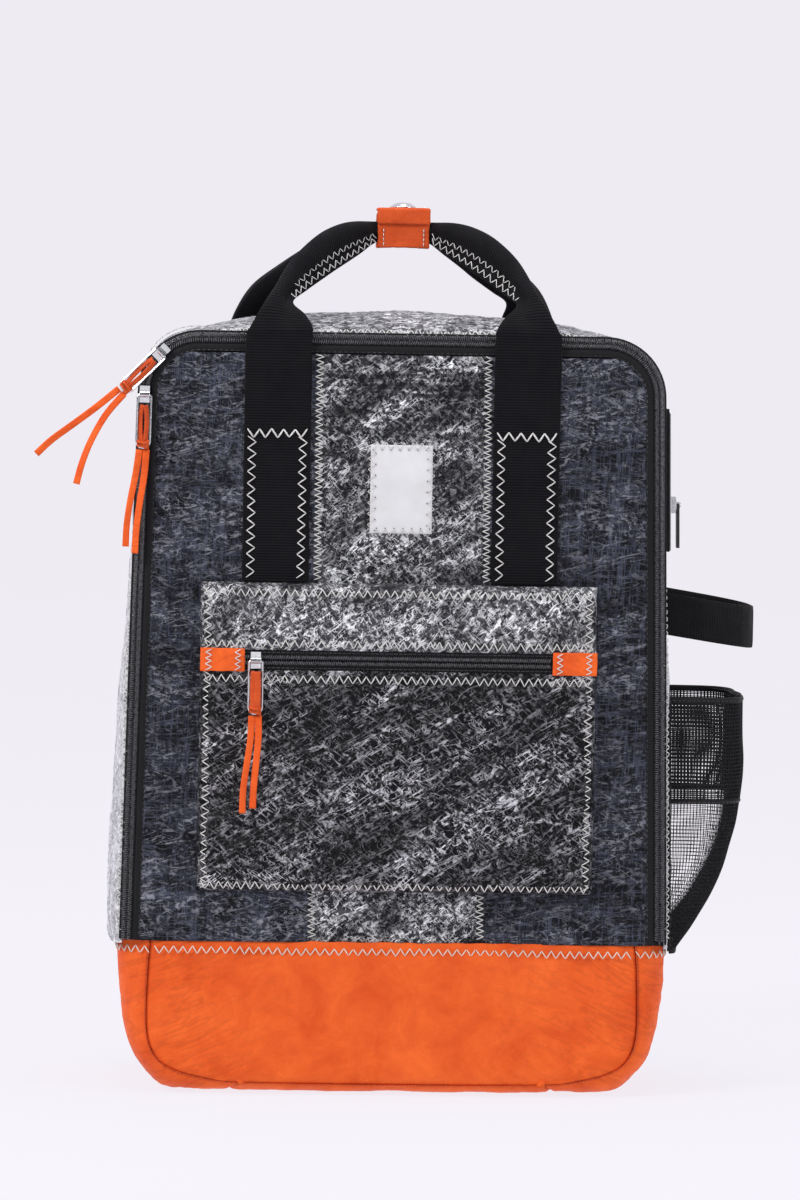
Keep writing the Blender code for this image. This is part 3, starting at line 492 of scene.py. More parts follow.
def label_look():
    look = Look("woven_label", roughness=0.62, sheen=0.1, specular=0.4)
    rate = 2 * math.pi / 0.0005 / 20
    weft = look.waves((0, 0, rate), "Z", 0.3)
    warp = look.waves((rate, 0, 0), "X", 0.3)
    cloth = look.sum("MULTIPLY", weft, warp)
    cloud = look.noise(45, 4, 0.6, 0.5)
    colour = look.mix(look.ramp(cloud, (0.3, 0.0), (0.7, 1.0)), (0.69, 0.69, 0.70),
                      (0.78, 0.78, 0.80))
    colour = look.mix(look.ramp(cloth, (0.0, 0.10), (0.5, 0.0)), colour, (0.45, 0.45, 0.46))
    return look.done(colour, look.ramp(cloud, (0.3, 0.55), (0.7, 0.70)),
                     [(cloth, 0.00006, 0.5), (look.noise(110, 3, 0.6), 0.0004, 0.35)])


MATERIALS = {}


def build_materials():
    """Every finish, by the name the pieces ask for."""
    MATERIALS.update({
        # Each sailcloth's third colour, light, is that of its painted crinkle highlights.
        "dark": sailcloth("sailcloth_dark", (0.002, 0.002, 0.004), (0.024, 0.027, 0.040),
                          (0.48, 0.49, 0.56), 0.50, 0.95, 12, 2.2, 90, 0.028),
        "side": sailcloth("sailcloth_side", (0.13, 0.13, 0.145), (0.50, 0.50, 0.54),
                          (0.98, 0.98, 1.0), 0.9, 0.3, 30, 1.8, 150, 0.06, 0.10,
                          shade_top=1.0),
        "grey": sailcloth("sailcloth_grey", (0.003, 0.003, 0.005), (0.026, 0.027, 0.036),
                          (0.96, 0.97, 1.0), 1.0, 0.1, 36, 1.7, 170, 0.040, 0.02,
                          streaks=0.8),
        "pocket": sailcloth("sailcloth_pocket", (0.002, 0.002, 0.003), (0.010, 0.010, 0.014),
                            (0.95, 0.94, 1.0), 1.0, 0.1, 31, 2.0, 100, 0.030, -0.04),
        "band": sailcloth("sailcloth_band", (0.006, 0.006, 0.008), (0.045, 0.045, 0.055),
                          (0.97, 0.97, 1.0), 1.0, 0.3, 42, 1.5, 180, 0.040, 0.05),
        # Each leather's third colour tones the nap and paints shade into the creases.
        "leather": leather("nubuck", (0.76, 0.088, 0.010), (0.97, 0.160, 0.024),
                           (0.46, 0.045, 0.007)),
        "strap_leather": leather("strap_leather", (0.54, 0.062, 0.010), (0.74, 0.105, 0.020),
                                 (0.28, 0.028, 0.006)),
        "webbing": webbing_look("ribbed_webbing", (0.0008, 0.0007, 0.0011),
                                (0.010, 0.009, 0.013)),
        "elastic": webbing_look("ribbed_elastic", (0.002, 0.002, 0.002), (0.016, 0.016, 0.018),
                                0.0011),
        "binding": weave_look("piping_tape", (0.003, 0.003, 0.004), (0.020, 0.020, 0.024),
                              0.0009),
        "tape": weave_look("zip_tape", (0.002, 0.002, 0.003), (0.014, 0.014, 0.017), 0.0008),
        "lining": weave_look("lining", (0.020, 0.021, 0.024), (0.045, 0.047, 0.052), 0.0007),
        "board": weave_look("stiffener", (0.20, 0.20, 0.20), (0.32, 0.32, 0.31), 0.0014),
        "net": weave_look("knitted_net", (0.004, 0.004, 0.005), (0.030, 0.030, 0.033), 0.0006),
        "spacer": spacer_look(),
        "metal": metal_look(),
        "plastic": plastic_look(),
        "thread": thread_look("white_thread", (0.56, 0.55, 0.53), (0.86, 0.85, 0.83)),
        "soft_thread": thread_look("cream_thread", (0.62, 0.52, 0.42), (0.90, 0.84, 0.76)),
        "black_thread": thread_look("black_thread", (0.004, 0.004, 0.005),
                                    (0.020, 0.020, 0.022)),
        "hole": thread_look("needle_hole", (0.010, 0.009, 0.009), (0.035, 0.032, 0.030)),
        "coil": coil_look(),
        "label": label_look(),
    })


def mesh_object(name, verts, faces, material, uvs=None):
    mesh = bpy.data.meshes.new(name)
    mesh.from_pydata([tuple(v) for v in verts], [], faces)
    mesh.materials.append(material)
    if uvs:
        layer = mesh.uv_layers.new(name="lengths")
        for loop in mesh.loops:
            layer.data[loop.index].uv = uvs[loop.vertex_index]
    mesh.shade_smooth()
    made = bpy.data.objects.new(name, mesh)
    bpy.context.collection.objects.link(made)
    return made


def keep(obj, body, look=None, *nodes):
    """Ride on a body and stand for CAD nodes; look is not used."""
    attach(obj, body)
    if nodes:
        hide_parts(*nodes)
    return obj


def grid(rows, closed=False):
    """Vertices and faces over rows of points of equal length."""
    verts = [p for row in rows for p in row]
    wide = len(rows[0])
    faces = []
    for r in range(len(rows) - 1):
        for c in range(wide if closed else wide - 1):
            n = (c + 1) % wide
            faces.append((r * wide + c, r * wide + n, (r + 1) * wide + n, (r + 1) * wide + c))
    return verts, faces


def sheet_mesh(name, rows, material, uvs=None, closed=False):
    verts, faces = grid(rows, closed)
    return mesh_object(name, verts, faces, material, uvs)


def turned_edge(rows, back):
    """The rows with one more point all round, moved by back: a cloth edge turned under."""
    wrapped = [[row[0] + back] + row + [row[-1] + back] for row in rows]
    under = [p + back for p in wrapped[0]]
    over = [p + back for p in wrapped[-1]]
    under[0], under[-1] = wrapped[0][0], wrapped[0][-1]
    over[0], over[-1] = wrapped[-1][0], wrapped[-1][-1]
    return [under] + wrapped + [over]


class Strands:
    """Many short arched strands gathered into one mesh: stitches and zip teeth."""

    def __init__(self):
        self.verts, self.faces = [], []

    def strand(self, start, end, out, lift, radius, sides=5, steps=4, flat=1.0):
        along = (end - start).normalized()
        across = along.cross(out).normalized()
        first = len(self.verts)
        for i in range(steps + 1):
            share = i / steps
            bow = math.sin(math.pi * share)
            centre = start.lerp(end, share) + out * (lift * bow ** 0.6)
            thick = radius * (0.72 + 0.28 * bow)
            for k in range(sides):
                turn = 2 * math.pi * k / sides
                self.verts.append(centre + across * (thick * math.cos(turn))
                                  + out * (thick * flat * math.sin(turn)))
        for i in range(steps):
            for k in range(sides):
                n = (k + 1) % sides
                self.faces.append((first + i * sides + k, first + i * sides + n,
                                   first + (i + 1) * sides + n, first + (i + 1) * sides + k))
        self.faces.append(tuple(first + k for k in reversed(range(sides))))
        self.faces.append(tuple(first + steps * sides + k for k in range(sides)))

    def build(self, name, look, body, *nodes):
        made = mesh_object(name, self.verts, self.faces, MATERIALS[look])
        return keep(made, body, look, *nodes)


THREADS = {}


def threads(body, look="thread"):
    return THREADS.setdefault((body, look), Strands())


def zigzag(body, line, out, period, width, look="thread", radius=0.00036, wobble=0.10):
    """A row of zigzag stitches along a line; out is the cloth's outward side there."""
    points = spaced(line, period / 2)
    bank = threads(body, look)
    pick = random.Random(len(bank.verts) + 11)
    spots = []
    for i, point in enumerate(points):
        along = (points[min(i + 1, len(points) - 1)] - points[max(i - 1, 0)]).normalized()
        normal = out(point) if callable(out) else out
        across = along.cross(normal).normalized()
        reach = width / 2 * (1 + pick.uniform(-wobble, wobble)) * (1 if i % 2 else -1)
        shift = along * pick.uniform(-wobble, wobble) * period * 0.25
        spots.append((point + across * reach + shift - normal * radius * 0.7, normal))
    for (a, normal), (b, _) in zip(spots, spots[1:]):
        bank.strand(a, b, normal, radius * 1.9, radius)


def stitches(body, line, out, pitch, look="thread", radius=0.00030, fill=0.72):
    """A straight row of stitches."""
    points = spaced(line, pitch)
    bank = threads(body, look)
    for a, b in zip(points, points[1:]):
        normal = out(a) if callable(out) else out
        bank.strand(a - normal * radius * 0.5, a.lerp(b, fill) - normal * radius * 0.5, normal,
                    radius * 1.4, radius)


def teeth(bank, outer, inner, out, pitch, slant, radius=0.00052, lift=0.0008):
    """Coil teeth across the band between two lines of the same length."""
    count = int(sum((b - a).length for a, b in zip(outer, outer[1:])) / pitch)
    near = resampled(outer, count)
    far = resampled(inner, count)
    for i in range(count - 1):
        a, b = near[i], far[i]
        along = (near[i + 1] - near[i]).normalized()
        bank.strand(a - along * slant / 2, b + along * slant / 2, out, lift, radius, 5, 4, 0.8)


def resampled(line, count):
    length = sum((b - a).length for a, b in zip(line, line[1:]))
    return spaced(line, length / count)[:count + 1]


def strip(name, route, outs, section, look, body, nodes=(), rib=None, step=0.0006, build=True):
    """A closed strip swept along a route.

    outs(share) is its outward side and section(share) its ring of (across, out) points, the same
    count throughout. rib is (pitch, depth) of ribs across it.
    """
    route = spaced(route, step)
    last = len(route) - 1
    rows, uvs, run = [], [], 0.0
    for i, point in enumerate(route):
        share = i / last
        along = (route[min(i + 1, last)] - route[max(i - 1, 0)]).normalized()
        out = outs(share)
        out = (out - along * out.dot(along)).normalized()
        across = along.cross(out)
        run += (route[i] - route[i - 1]).length if i else 0
        ring = section(share)
        swell = 0.0
        if rib:
            swell = rib[1] * (math.sin(math.pi * run / rib[0]) ** 2 - 0.5)
        row, lap = [], 0.0
        for k, (u, v) in enumerate(ring):
            if k:
                lap += math.dist(ring[k], ring[k - 1])
            puff = swell * (1 if v >= 0 else -1)
            row.append(point + across * u + out * (v + puff))
            uvs.append((lap, run))
        rows.append(row)
    verts, faces = grid(rows, closed=True)
    wide = len(rows[0])
    faces.append(tuple(reversed(range(wide))))
    faces.append(tuple(len(verts) - wide + k for k in range(wide)))
    if not build:
        return verts, faces, uvs
    made = mesh_object(name, verts, faces, MATERIALS[look], uvs)
    return keep(made, body, look, *nodes)


def flat_ring(width, thick, count=9, crown=0.0, seed=0):
    """A flat strip's section with rounded edges, its face crowned by crown."""
    ring = []
    for k in range(count):
        u = -width / 2 + width * k / (count - 1)
        e = abs(2 * u / width)
        ring.append((u, thick / 2 * (1 - 0.35 * e ** 12) + crown * (1 - e ** 2)))
    back = [(u, -v + 2 * crown * (1 - abs(2 * u / width) ** 2)) for u, v in reversed(ring)]
    mid = thick * 0.3
    return [(-width / 2 - mid * 0.4, 0)] + ring + [(width / 2 + mid * 0.4, 0)] + back


def fractal(x, y, z, scale, octaves=3, seed=0.0):
    """Smooth noise from -1 to 1 at that many ripples per metre."""
    return noise.fractal(Vector((x * scale + seed, y * scale - seed, z * scale + seed * 0.7)),
                         0.9, 2.0, octaves)


def creases(u, v, scale, stretch, turn, seed=0.0, sharp=1.4):
    """Ridges from 0 to 1 that run along a direction turned from u by turn degrees."""
    c, s = math.cos(math.radians(turn)), math.sin(math.radians(turn))
    p = Vector(((u * c + v * s) * scale / stretch + seed, (v * c - u * s) * scale, seed))
    p += noise.noise_vector(p * 0.45) * 0.55
    return max(1 - abs(noise.noise(p)) * 2.2, 0) ** sharp


def evaluated(obj):
    """A new mesh with the object's modifiers applied."""
    bpy.context.view_layer.update()
    graph = bpy.context.evaluated_depsgraph_get()
    return bpy.data.meshes.new_from_object(obj.evaluated_get(graph))


def apply_modifiers(obj):
    mesh = evaluated(obj)
    obj.modifiers.clear()
    obj.data = mesh
    return obj


def softened(name, node, look, body, voxel=0.0008, rounds=3, relief=None, finer=0):
    """A CAD node's shape with its edges rounded and its faces worked by relief(point)."""
    made = bpy.data.objects.new(name, NODES[node].data.copy())
    bpy.context.collection.objects.link(made)
    made.data.materials.clear()
    remesh = made.modifiers.new("voxels", "REMESH")
    remesh.mode = "VOXEL"
    remesh.voxel_size = voxel
    apply_modifiers(made)
    bm = bmesh.new()
    bm.from_mesh(made.data)
    for _ in range(rounds):
        bmesh.ops.smooth_vert(bm, verts=bm.verts, factor=0.5, use_axis_x=True, use_axis_y=True,
                              use_axis_z=True)
    bm.normal_update()
    if relief:
        for v in bm.verts:
            v.co += v.normal * relief(v.co)
    bm.to_mesh(made.data)
    bm.free()
    if finer:
        made.modifiers.new("finer", "SUBSURF").levels = finer
        apply_modifiers(made)
    made.data.materials.clear()
    made.data.materials.append(MATERIALS[look])
    made.data.shade_smooth()
    return keep(made, body, look, node)


def stuffed(name, node, look, body, held, pinch=0.0018, voxel=0.005, cap=0.006, shape=None):
    """A padded piece: a slightly smaller form blown up as cloth, flat where held(point)."""
    made = bpy.data.objects.new(name, NODES[node].data.copy())
    bpy.context.collection.objects.link(made)
    made.data.materials.clear()
    remesh = made.modifiers.new("voxels", "REMESH")
    remesh.mode = "VOXEL"
    remesh.voxel_size = voxel
    apply_modifiers(made)
    bm = bmesh.new()
    bm.from_mesh(made.data)
    bm.normal_update()
    for v in bm.verts:
        v.co -= v.normal * pinch
    for _ in range(2):
        bmesh.ops.smooth_vert(bm, verts=bm.verts, factor=0.5, use_axis_x=True, use_axis_y=True,
                              use_axis_z=True)
    bm.to_mesh(made.data)
    bm.free()
    start = [v.co.copy() for v in made.data.vertices]
    group = made.vertex_groups.new(name="held")
    group.add([i for i, p in enumerate(start) if held(p)], 1.0, "ADD")
    cloth = made.modifiers.new("cloth", "CLOTH")
    cloth.settings.quality = 5
    cloth.settings.vertex_group_mass = "held"
    cloth.settings.use_pressure = True
    cloth.settings.uniform_pressure_force = 4
    cloth.settings.effector_weights.gravity = 0
    cloth.settings.tension_stiffness = 30
    cloth.settings.compression_stiffness = 30
    scene = bpy.context.scene
    for number in range(1, 21):
        scene.frame_set(number)
    swollen = evaluated(made)
    ends = [v.co.copy() for v in swollen.vertices]
    made.modifiers.clear()
    scene.frame_set(1)
    for v, a, b in zip(made.data.vertices, start, ends):
        move = b - a
        if move.length > cap:
            move = move.normalized() * cap
        v.co = a + move
    made.vertex_groups.clear()
    made.modifiers.new("finer", "SUBSURF").levels = 1
    apply_modifiers(made)
    if shape:
        for v in made.data.vertices:
            v.co = shape(v.co.copy())
    made.data.materials.clear()
    made.data.materials.append(MATERIALS[look])
    made.data.shade_smooth()
    keep(made, body, look, node)
    return made


# ---------------------------------------------------------------- leather base
# Outline of the soft base from the side seam to the middle of the underside: (half width, z)
BASE_SIDE = [(0.1660, 0.0945), (0.1664, 0.0800), (0.1652, 0.0600), (0.1628, 0.0420),
             (0.1590, 0.0280), (0.1530, 0.0160), (0.1450, 0.0065), (0.1370, 0.0016),
             (0.1280, 0.0003), (0.1000, 0.0), (0.0500, 0.0), (0.0, 0.0)]
# The seam between that gusset and the front panel, from the top to the middle of the bottom
FRONT_SEAM = [(0.1462, 0.0945), (0.1475, 0.0800), (0.1484, 0.0600), (0.1484, 0.0420),
              (0.1462, 0.0290), (0.1400, 0.0190), (0.1290, 0.0130), (0.1170, 0.0100),
              (0.1020, 0.0072), (0.0800, 0.0064), (0.0400, 0.0060), (0.0, 0.0060)]
SEAM_Y = -0.0704
ROLL_Y = -0.0500


def mirrored_line(half, y):
    left = smooth_line([Vector((-x, y, z)) for x, z in half], 8)
    return left + [Vector((-p.x, p.y, p.z)) for p in reversed(left[:-1])]


def seam_half(z):
    """Half width of the front leather panel at height z."""
    points = smooth_line([Vector((x, 0, z)) for x, z in FRONT_SEAM], 8)
    for a, b in zip(points, points[1:]):
        if b.z <= z <= a.z and a.z > b.z:
            return a.x + (b.x - a.x) * (a.z - z) / (a.z - b.z)
    return 0.1 if z < 0.01 else FRONT_SEAM[0][0]


def hide_relief(p, seed=0.0):
    """Soft folds and small creases of the nubuck, stronger towards the two ends."""
    end = min(max((abs(p.x) - 0.055) / 0.085, 0), 1)
    side = 1 if p.x > 0 else -1
    drawn = creases(p.x, p.z, 62, 3.4, side * -24, seed + 3, 2.2)
    fine = creases(p.x, p.z, 190, 3.0, side * -30, seed + 9, 2.0)
    swell = fractal(p.x, p.y, p.z, 16, 2, seed)
    broad = creases(p.x, p.z, 26, 2.6, side * -20, seed + 5, 1.4)
    return max(0.0008 * swell - 0.0011 * drawn * end ** 0.8 - 0.00045 * fine * (0.15 + end)
               - 0.0010 * broad * end, -0.0014) + 0.00016 * fractal(p.x, p.y, p.z, 260, 3, seed)


def build_base():
    """The leather base: a soft gusset round the sides and bottom and a seamed front panel."""
    outer = mirrored_line(BASE_SIDE, 0)
    inner = mirrored_line(FRONT_SEAM, 0)
    count = 420
    outer, inner = resampled(outer, count), resampled(inner, count)
    rows = []
    ways = [0.0700, 0.0692, 0.0675, 0.0640] + [0.0600 - 0.0046 * i for i in range(24)]
    for i, (o, s) in enumerate(zip(outer, inner)):
        along = (outer[min(i + 1, count)] - outer[max(i - 1, 0)]).normalized()
        normal = Vector((along.z, 0, -along.x))
        if normal.dot(o - Vector((0, 0, 0.06))) < 0:
            normal = -normal
        corner = 0.5 - abs(i / count - 0.5)
        row = []
        for k, y in enumerate(ways):
            tuck = (0.0042, 0.0022, 0.0008, 0.0)[k] if k < 4 else 0
            row.append(Vector((o.x, y, o.z)) - normal * tuck)
        for k in range(1, 19):
            turn = math.pi / 2 * k / 18
            p = o.lerp(s, 1 - math.cos(turn))
            p.y = ROLL_Y + (SEAM_Y + 0.0003 - ROLL_Y) * math.sin(turn)
            row.append(p)
        row.append(s + Vector((0, SEAM_Y + 0.0022, 0)) * 1.0)
        lifted = []
        for k, p in enumerate(row):
            depth = k / (len(row) - 1)
            soft = min(k / 5, 1) * min((len(row) - 1 - k) / 4, 1)
            push = hide_relief(Vector((p.x, p.y * 0.8, p.z)), 5.0) * 0.7 * soft
            pleat = math.exp(-((corner - 0.2955) / 0.0035) ** 2) * 0.0016
            pleat *= min(max((k - 22) / 6, 0), 1)
            sag = 0.0009 * soft * math.sin(corner * 60)
            at = p + normal * (push - pleat) * (1 if depth < 0.97 else 0)
            if at.z < 0.0005:
                at.z = max(at.z, 0.0)
            at.z = max(at.z, 0)
            lifted.append(at + normal * min(sag, 0) * 0.5)
        for p in lifted:
            p.z = max(p.z, 0.0)
        rows.append(lifted)
    wall = sheet_mesh("base_gusset_leather", rows, MATERIALS["leather"])
    thick = wall.modifiers.new("hide", "SOLIDIFY")
    thick.thickness = 0.0020
    thick.offset = 1 if wall.data.polygons[0].normal.dot(Vector((1, 0, 0))) > 0 else -1
    apply_modifiers(wall)
    keep(wall, "bag", "leather", "base_gusset")

    top = LEATHER_TOP + 0.0006
    lines = 74
    wide = 300
    rows = []
    for r in range(lines + 1):
        z = 0.0064 + (top - 0.0064) * r / lines
        half = seam_half(z) - 0.0006
        row = []
        for c in range(wide + 1):
            x = -half + 2 * half * c / wide
            rim = min(half - abs(x), (z - 0.0060) * 1.6)
            puff = 0.0030 * (1 - math.exp(-max(rim, 0) / 0.0050))
            settle = min(rim / 0.006, 1)
            y = SEAM_Y + 0.0012 - puff - hide_relief(Vector((x, 0, z))) * settle
            ragged = 0.0
            if r == lines:
                ragged = 0.0007 * fractal(x, 0, 0, 90, 2, 4)
            row.append(Vector((x, y, z + ragged)))
        rows.append(row)
    panel = sheet_mesh("base_front_leather", turned_edge(rows, Vector((0, 0.0021, 0))),
                       MATERIALS["leather"])
    keep(panel, "bag", "leather", "base_front_panel")

    face = SEAM_Y + 0.0012 - 0.0032
    ahead = Vector((0, -1, 0))
    low = LEATHER_TOP - 0.0052
    zigzag("bag", [Vector((x, face, low + 0.0004 * math.sin(x * 40)))
                   for x in (-0.1435, -0.10, -0.05, 0, 0.05, 0.10, 0.1435)],
           ahead, 0.0057, 0.0044, "soft_thread", 0.00040)
    for side in (-1, 1):
        body = []
        for k in range(15):
            turn = math.pi / 2 * (1 - k / 14 * 0.92)
            o = Vector((side * 0.1662, 0, low))
            s = Vector((side * 0.1466, 0, low))
            p = o.lerp(s, 1 - math.cos(turn))
            p.y = ROLL_Y + (SEAM_Y - ROLL_Y) * math.sin(turn) - 0.0004
            body.append(p)
        body += [Vector((side * 0.1667, y, low)) for y in (-0.030, 0.0, 0.030, 0.064)]

        def out(p, side=side):
            lean = min(max((-p.y - 0.050) / 0.0204, 0), 1)
            turn = math.asin(lean)
            return Vector((side * math.cos(turn), -math.sin(turn), 0)).normalized()
        zigzag("bag", body, out, 0.0057, 0.0044, "soft_thread", 0.00040)
    seam = resampled(mirrored_line(FRONT_SEAM, SEAM_Y - 0.0001), 220)
    welt = Strands()
    for a, b in zip(seam, seam[1:]):
        if a.z < 0.0918:
            welt.strand(a, b, ahead, 0.0001, 0.0006, 5, 1)
    welt.build("base_seam_cord", "strap_leather", "bag")


# ---------------------------------------------------------------- sailcloth body and flap
def gusset_section():
    """(y, inset) round the gusset from the back seam to the zip."""
    key = [(0.0700, 0.0045), (0.0690, 0.0018), (0.0662, 0.0004), (0.0600, -0.0004),
           (0.0300, -0.0012), (0.0, -0.0015), (-0.0300, -0.0012), (-0.0600, -0.0003),
           (-0.0664, 0.0001), (-0.0688, 0.0008), (-0.0699, 0.0020), (-0.0702, 0.0030)]
    fine = smooth_line([Vector((y, i, 0)) for y, i in key], 5)
    return [(p.x, p.y) for p in fine]


def gusset_swell(x, y, z):
    """How far the side stands out of its flat line: a belly low down, drawn in at the top."""
    across = math.sin(math.pi * min(max((0.070 - y) / 0.140, 0), 1)) ** 0.8
    low = 1 - edge_fade(z - 0.10, 0.26)
    return (0.0046 if x < 0 else -0.0010) * low * across - 0.0058 * edge_fade(z - 0.22, 0.14) * edge_fade(y + 0.066, 0.136)


def corner_tuck(x, z):
    """How far the gusset hides behind the zip towards the round top corners."""
    return 0.0023 * edge_fade(z - 0.24, 0.12) * edge_fade(abs(x) - 0.085, 0.04)


def build_gusset():
    """The sailcloth gusset: light, crinkled, crowned a little along the top."""
    line = arch(0, LEATHER_TOP - 0.0015, 0, 0.0018)
    section = gusset_section()
    last = len(line) - 1
    rows = []
    for i, p in enumerate(line):
        along = (line[min(i + 1, last)] - line[max(i - 1, 0)]).normalized()
        normal = Vector((-along.z, 0, along.x))
        if normal.dot(p - Vector((0, 0, 0.25))) < 0:
            normal = -normal
        row = []
        for k, (y, inset) in enumerate(section):
            soft = min(k / 8, 1) * min((len(section) - 1 - k) / 10, 1)
            q = p - normal * inset
            crumple = (0.0011 * fractal(q.x, y, q.z, 26, 3, 2)
                       + 0.0006 * creases(y, q.z if abs(normal.x) > 0.5 else q.x, 110, 2.2, 25, 4))
            crown = 0.0
            if normal.z > 0.5:
                crown = 0.0098 * max(1 - (q.x / 0.125) ** 2, 0) * math.sin(
                    math.pi * min(max((0.070 - y) / 0.140, 0), 1)) ** 0.7
            if abs(normal.x) > 0.05:
                crown += gusset_swell(q.x, y, q.z) * abs(normal.x)
            q = q + normal * (crumple * soft + crown - corner_tuck(p.x, p.z))
            q.y = y
            row.append(q)
        rows.append(row)
    made = sheet_mesh("gusset_sailcloth", rows, MATERIALS["side"])
    keep(made, "bag", "side", "side_gusset")
    lining = sheet_mesh("gusset_lining", [
        [p + Vector((-math.copysign(0.0022, p.x) if abs(p.x) > 0.02 else 0, 0,
                     -0.0022 if p.z > 0.43 else 0)) for p in row[6:-8:6]] for row in rows[::6]],
        MATERIALS["lining"])
    keep(lining, "bag", "lining")

    def out(p):
        flat = Vector((p.x, 0, max(p.z - 0.422, 0) * 3))
        if p.z < 0.415:
            flat = Vector((p.x, 0, 0))
        elif abs(p.x) < 0.118:
            flat = Vector((0, 0, 1))
        else:
            flat = Vector((p.x - math.copysign(0.1217, p.x), 0, p.z - 0.422))
        return (flat.normalized() + Vector((0, -0.85, 0))).normalized()
    edge = []
    for p in arch(0.0006, 0.0965, 0):
        p -= out(p) * Vector((1, 0, 1)) * corner_tuck(p.x, p.z) * 1.3
        edge.append(Vector((p.x, -0.0692, p.z)))
    zigzag("bag", edge, out, 0.0043, 0.0044, "thread", 0.00034)
    rear = [Vector((p.x - math.copysign(0.0056, p.x) * edge_fade(p.z - 0.22, 0.14)
                    * min(max((0.4605 - p.z) / 0.038, 0), 1), 0.0655, p.z))
            for p in arch(-0.0004, 0.0965, 0)]
    zigzag("bag", rear, lambda p: (out(p) * Vector((1, 0, 1))).normalized(), 0.0050, 0.0044,
           "thread", 0.00034)


def edge_fade(distance, reach=0.006):
    share = min(max(distance / reach, 0), 1)
    return share * share * (3 - 2 * share)


def panel(name, body, look, node, left, right, low, top, face, relief, step=0.0014, flat=None,
          turned=0.0014):
    """A sewn cloth panel between two side lines, worked by relief(x, z) away from its seams."""
    wide = max(int((max(right(low), right(top)) - min(left(low), left(top))) / step), 4)
    high = int((top - low) / step)
    rows = []
    for r in range(high + 1):
        z = low + (top - low) * r / high
        a, b = left(z), right(z)
        row = []
        for c in range(wide + 1):
            x = a + (b - a) * c / wide
            rim = min(x - a, b - x, top - z, z - low + 0.004)
            row.append(Vector((x, face - relief(x, z) * edge_fade(rim), z)))
        rows.append(row)
    made = sheet_mesh(name, turned_edge(rows, Vector((0, turned, 0))), MATERIALS[look])
    keep(made, body, look, node)
    return made


def dark_relief(x, z):
    return (0.0011 * fractal(x, 0, z, 17, 3, 8) + 0.0006 * creases(x, z, 48, 3.0, 4, 2, 2.4)
            + 0.0005 * creases(x, z, 60, 3.0, 82, 6, 2.4)
            + 0.00018 * fractal(x, 0, z, 330, 3, 1))


def centre_relief(x, z):
    return (0.0012 * fractal(x, 0, z, 22, 3, 3) + 0.0007 * creases(x, z, 120, 1.8, -38, 5, 1.6)
            + 0.0005 * creases(x, z, 150, 2.0, 46, 9, 1.6)
            + 0.00045 * fractal(x, 0, z, 420, 3, 2))


def pocket_relief(x, z):
    long = creases(x, z, 46, 4.2, 27, 12, 1.5)
    cross = creases(x, z, 95, 2.6, 36, 7, 1.5)
    return (0.0026 * (long - 0.3) + 0.0013 * cross + 0.0010 * fractal(x, 0, z, 20, 3, 6)
            + 0.00050 * fractal(x, 0, z, 400, 3, 5))


def band_relief(x, z):
    return (0.0007 * fractal(x, 0, z, 24, 3, 4) + 0.0006 * creases(x, z, 85, 2.2, 34, 1, 1.6)
            + 0.0005 * creases(x, z, 110, 2.0, 88, 3, 1.6)
            + 0.00040 * fractal(x, 0, z, 420, 3, 7))


def build_flap():
    """The opening front: three seamed panels, piping and the rows of stitching."""
    top = HEIGHT - PANEL_IN
    ahead = Vector((0, -1, 0))
    cut = SEAM_X
    panel("front_left_sailcloth", "flap", "dark", "flap_left",
          lambda z: -side_x(z, PANEL_IN - 0.001), lambda z: -cut + 0.0006, FLAP_LOW, top,
          CLOTH_FACE, dark_relief, 0.0018, (0.110, 0.353))
    panel("front_right_sailcloth", "flap", "dark", "flap_right",
          lambda z: cut - 0.0006, lambda z: side_x(z, PANEL_IN - 0.001), FLAP_LOW, top,
          CLOTH_FACE, dark_relief, 0.0018, (0.110, 0.353))
    panel("front_centre_sailcloth", "flap", "grey", "flap_centre",
          lambda z: -cut, lambda z: cut, FLAP_LOW, top, CLOTH_FACE + 0.0004, centre_relief,
          0.0013, (0.102, 0.354))
    backing = [[Vector((x, FRONT + 0.0016, z)) for x in
                [-side_x(z, PANEL_IN) + 2 * side_x(z, PANEL_IN) * i / 12 for i in range(13)]]
               for z in [FLAP_LOW + (top - FLAP_LOW) * r / 20 for r in range(21)]]
    backing = sheet_mesh("flap_lining", backing, MATERIALS["lining"])
    keep(backing, "flap", "lining")
    stitch = CLOTH_FACE - 0.0005
    for x in (-0.0494, 0.0520):
        for low, high in ((FLAP_LOW + 0.003, POCKET_LOW - 0.001), (POCKET_TOP + 0.002, top)):
            zigzag("flap", [Vector((x, stitch, low)), Vector((x - 0.0006, stitch, high))], ahead,
                   0.0034, 0.0046, "thread", 0.00033, 0.16)

    def round_ring(share):
        ring = []
        for k in range(9):
            turn = math.pi * k / 8
            ring.append((-0.00268 * math.cos(turn), 0.0029 * math.sin(turn) ** 0.8 - 0.0008))
        return ring
    strip("front_piping", arch((BINDING[0] + BINDING[1]) / 2, FLAP_LOW + 0.0002, FRONT, 0.001),
          lambda share: ahead, round_ring, "binding", "flap", ("flap_binding",), None, 0.0020)
    stitches("flap", arch(BINDING[1] - 0.0011, FLAP_LOW + 0.003, FRONT - 0.0014), ahead, 0.0034,
             "black_thread", 0.00026)

    strap = []
    for z in (0.078, 0.084, 0.0885, 0.0915, 0.0945, 0.099, 0.106):
        strap.append([Vector((-0.142 + 0.284 * i / 30, FRONT + 0.0011, z)) for i in range(31)])
    fold = sheet_mesh("flap_fold_cloth", strap, MATERIALS["lining"])
    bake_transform(fold)


